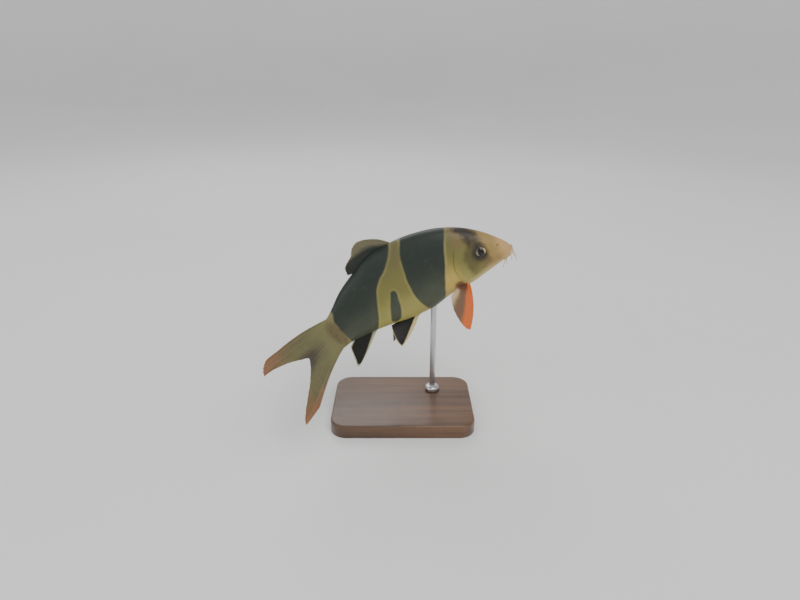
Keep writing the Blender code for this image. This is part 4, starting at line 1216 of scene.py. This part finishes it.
def make_rod_and_collar(finish):
    low, high = (Vector(corner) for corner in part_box("stand_rod"))
    middle = (low + high) / 2
    rod = start("display_rod", bpy.ops.mesh.primitive_cylinder_add, vertices=64, radius=ROD_RADIUS,
                depth=high.z - low.z + ROD_OVERLAP, location=middle)
    finish_piece(rod, finish, "steel", "stand_rod", sharp=30)
    low, high = (Vector(corner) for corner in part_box("stand_collar"))
    collar = start("display_collar", bpy.ops.mesh.primitive_cylinder_add, vertices=96, radius=COLLAR_RADIUS,
                   depth=COLLAR_HEIGHT, location=(middle.x, middle.y, low.z + COLLAR_HEIGHT / 2))
    bevel_level(collar, low.z + COLLAR_HEIGHT, COLLAR_EDGE, 10)
    bevel_level(collar, low.z, COLLAR_FOOT, 3)
    finish_piece(collar, finish, "steel", "stand_collar", sharp=30)


# Floor, light and camera

FLOOR_RADIUS = 1.5
SWEEP_RADIUS = 2.6
FLOOR_RISE = math.radians(95)
FLOOR_GAP = 0.00002

# Each lamp's place, size and power
LAMPS = {"key": ((0.5, -0.9, 1.7), 1.2, 19.0), "fill": ((-1.3, -0.9, 0.8), 1.2, 6.0),
         "rim": ((-0.3, 1.1, 1.2), 0.9, 7.0)}
ROOM_COLOUR = (0.97, 0.98, 1.0, 1)
ROOM_STRENGTH = 0.43

CAMERA_PLACE = (-0.00192, -0.39420, 0.25081)
CAMERA_TILT = math.radians(68.0)
CAMERA_LENS = 27.0


def make_floor():
    """A wide pale disc whose rim curves up, so that no horizon shows from any side."""
    floor = start("pale_floor", bpy.ops.mesh.primitive_grid_add, x_subdivisions=60, y_subdivisions=96,
                  size=1)
    run, around, _ = (points_of(floor) + 0.5).T
    sweep = ramp(run * 2 - 1) * FLOOR_RISE
    radius = FLOOR_RADIUS * np.minimum(run * 2, 1) + SWEEP_RADIUS * np.sin(sweep)
    height = SWEEP_RADIUS * (1 - np.cos(sweep))
    turn = around * 2 * math.pi
    set_points(floor, np.stack((radius * np.cos(turn), radius * np.sin(turn), height - FLOOR_GAP), -1))
    close_up(floor)
    select_only(floor)
    bpy.ops.object.shade_smooth()
    floor.data.materials.append(floor_finish())


def add_light(name, place, size, power):
    data = bpy.data.lights.new(name, "AREA")
    data.size = size
    data.energy = power
    light = bpy.data.objects.new(name, data)
    bpy.context.scene.collection.objects.link(light)
    light.location = place
    light.rotation_euler = (MID_BODY - Vector(place)).to_track_quat("-Z", "Y").to_euler()


def make_lights():
    for name, (place, size, power) in LAMPS.items():
        add_light(name, place, size, power)
    world = bpy.data.worlds.new("soft_room")
    world.use_nodes = True
    background = world.node_tree.nodes["Background"]
    background.inputs["Color"].default_value = ROOM_COLOUR
    background.inputs["Strength"].default_value = ROOM_STRENGTH
    bpy.context.scene.world = world


def make_camera():
    """Looks along +Y and 22 degrees down, as the photograph does."""
    data = bpy.data.cameras.new("view")
    data.lens = CAMERA_LENS
    data.clip_start = 0.001
    camera = bpy.data.objects.new("view", data)
    bpy.context.scene.collection.objects.link(camera)
    camera.location = CAMERA_PLACE
    camera.rotation_euler = (CAMERA_TILT, 0, 0)
    bpy.context.scene.camera = camera


make_camera()
make_skin()
eye_gloss = eye_finish()
flesh = barbel_finish()
for side in (-1, 1):
    make_eye(side, eye_gloss)
    for kind in BARBELS:
        make_barbel(kind, side, flesh)
make_fins()
make_base(wood_finish())
make_rod_and_collar(steel_finish())
make_floor()
make_lights()
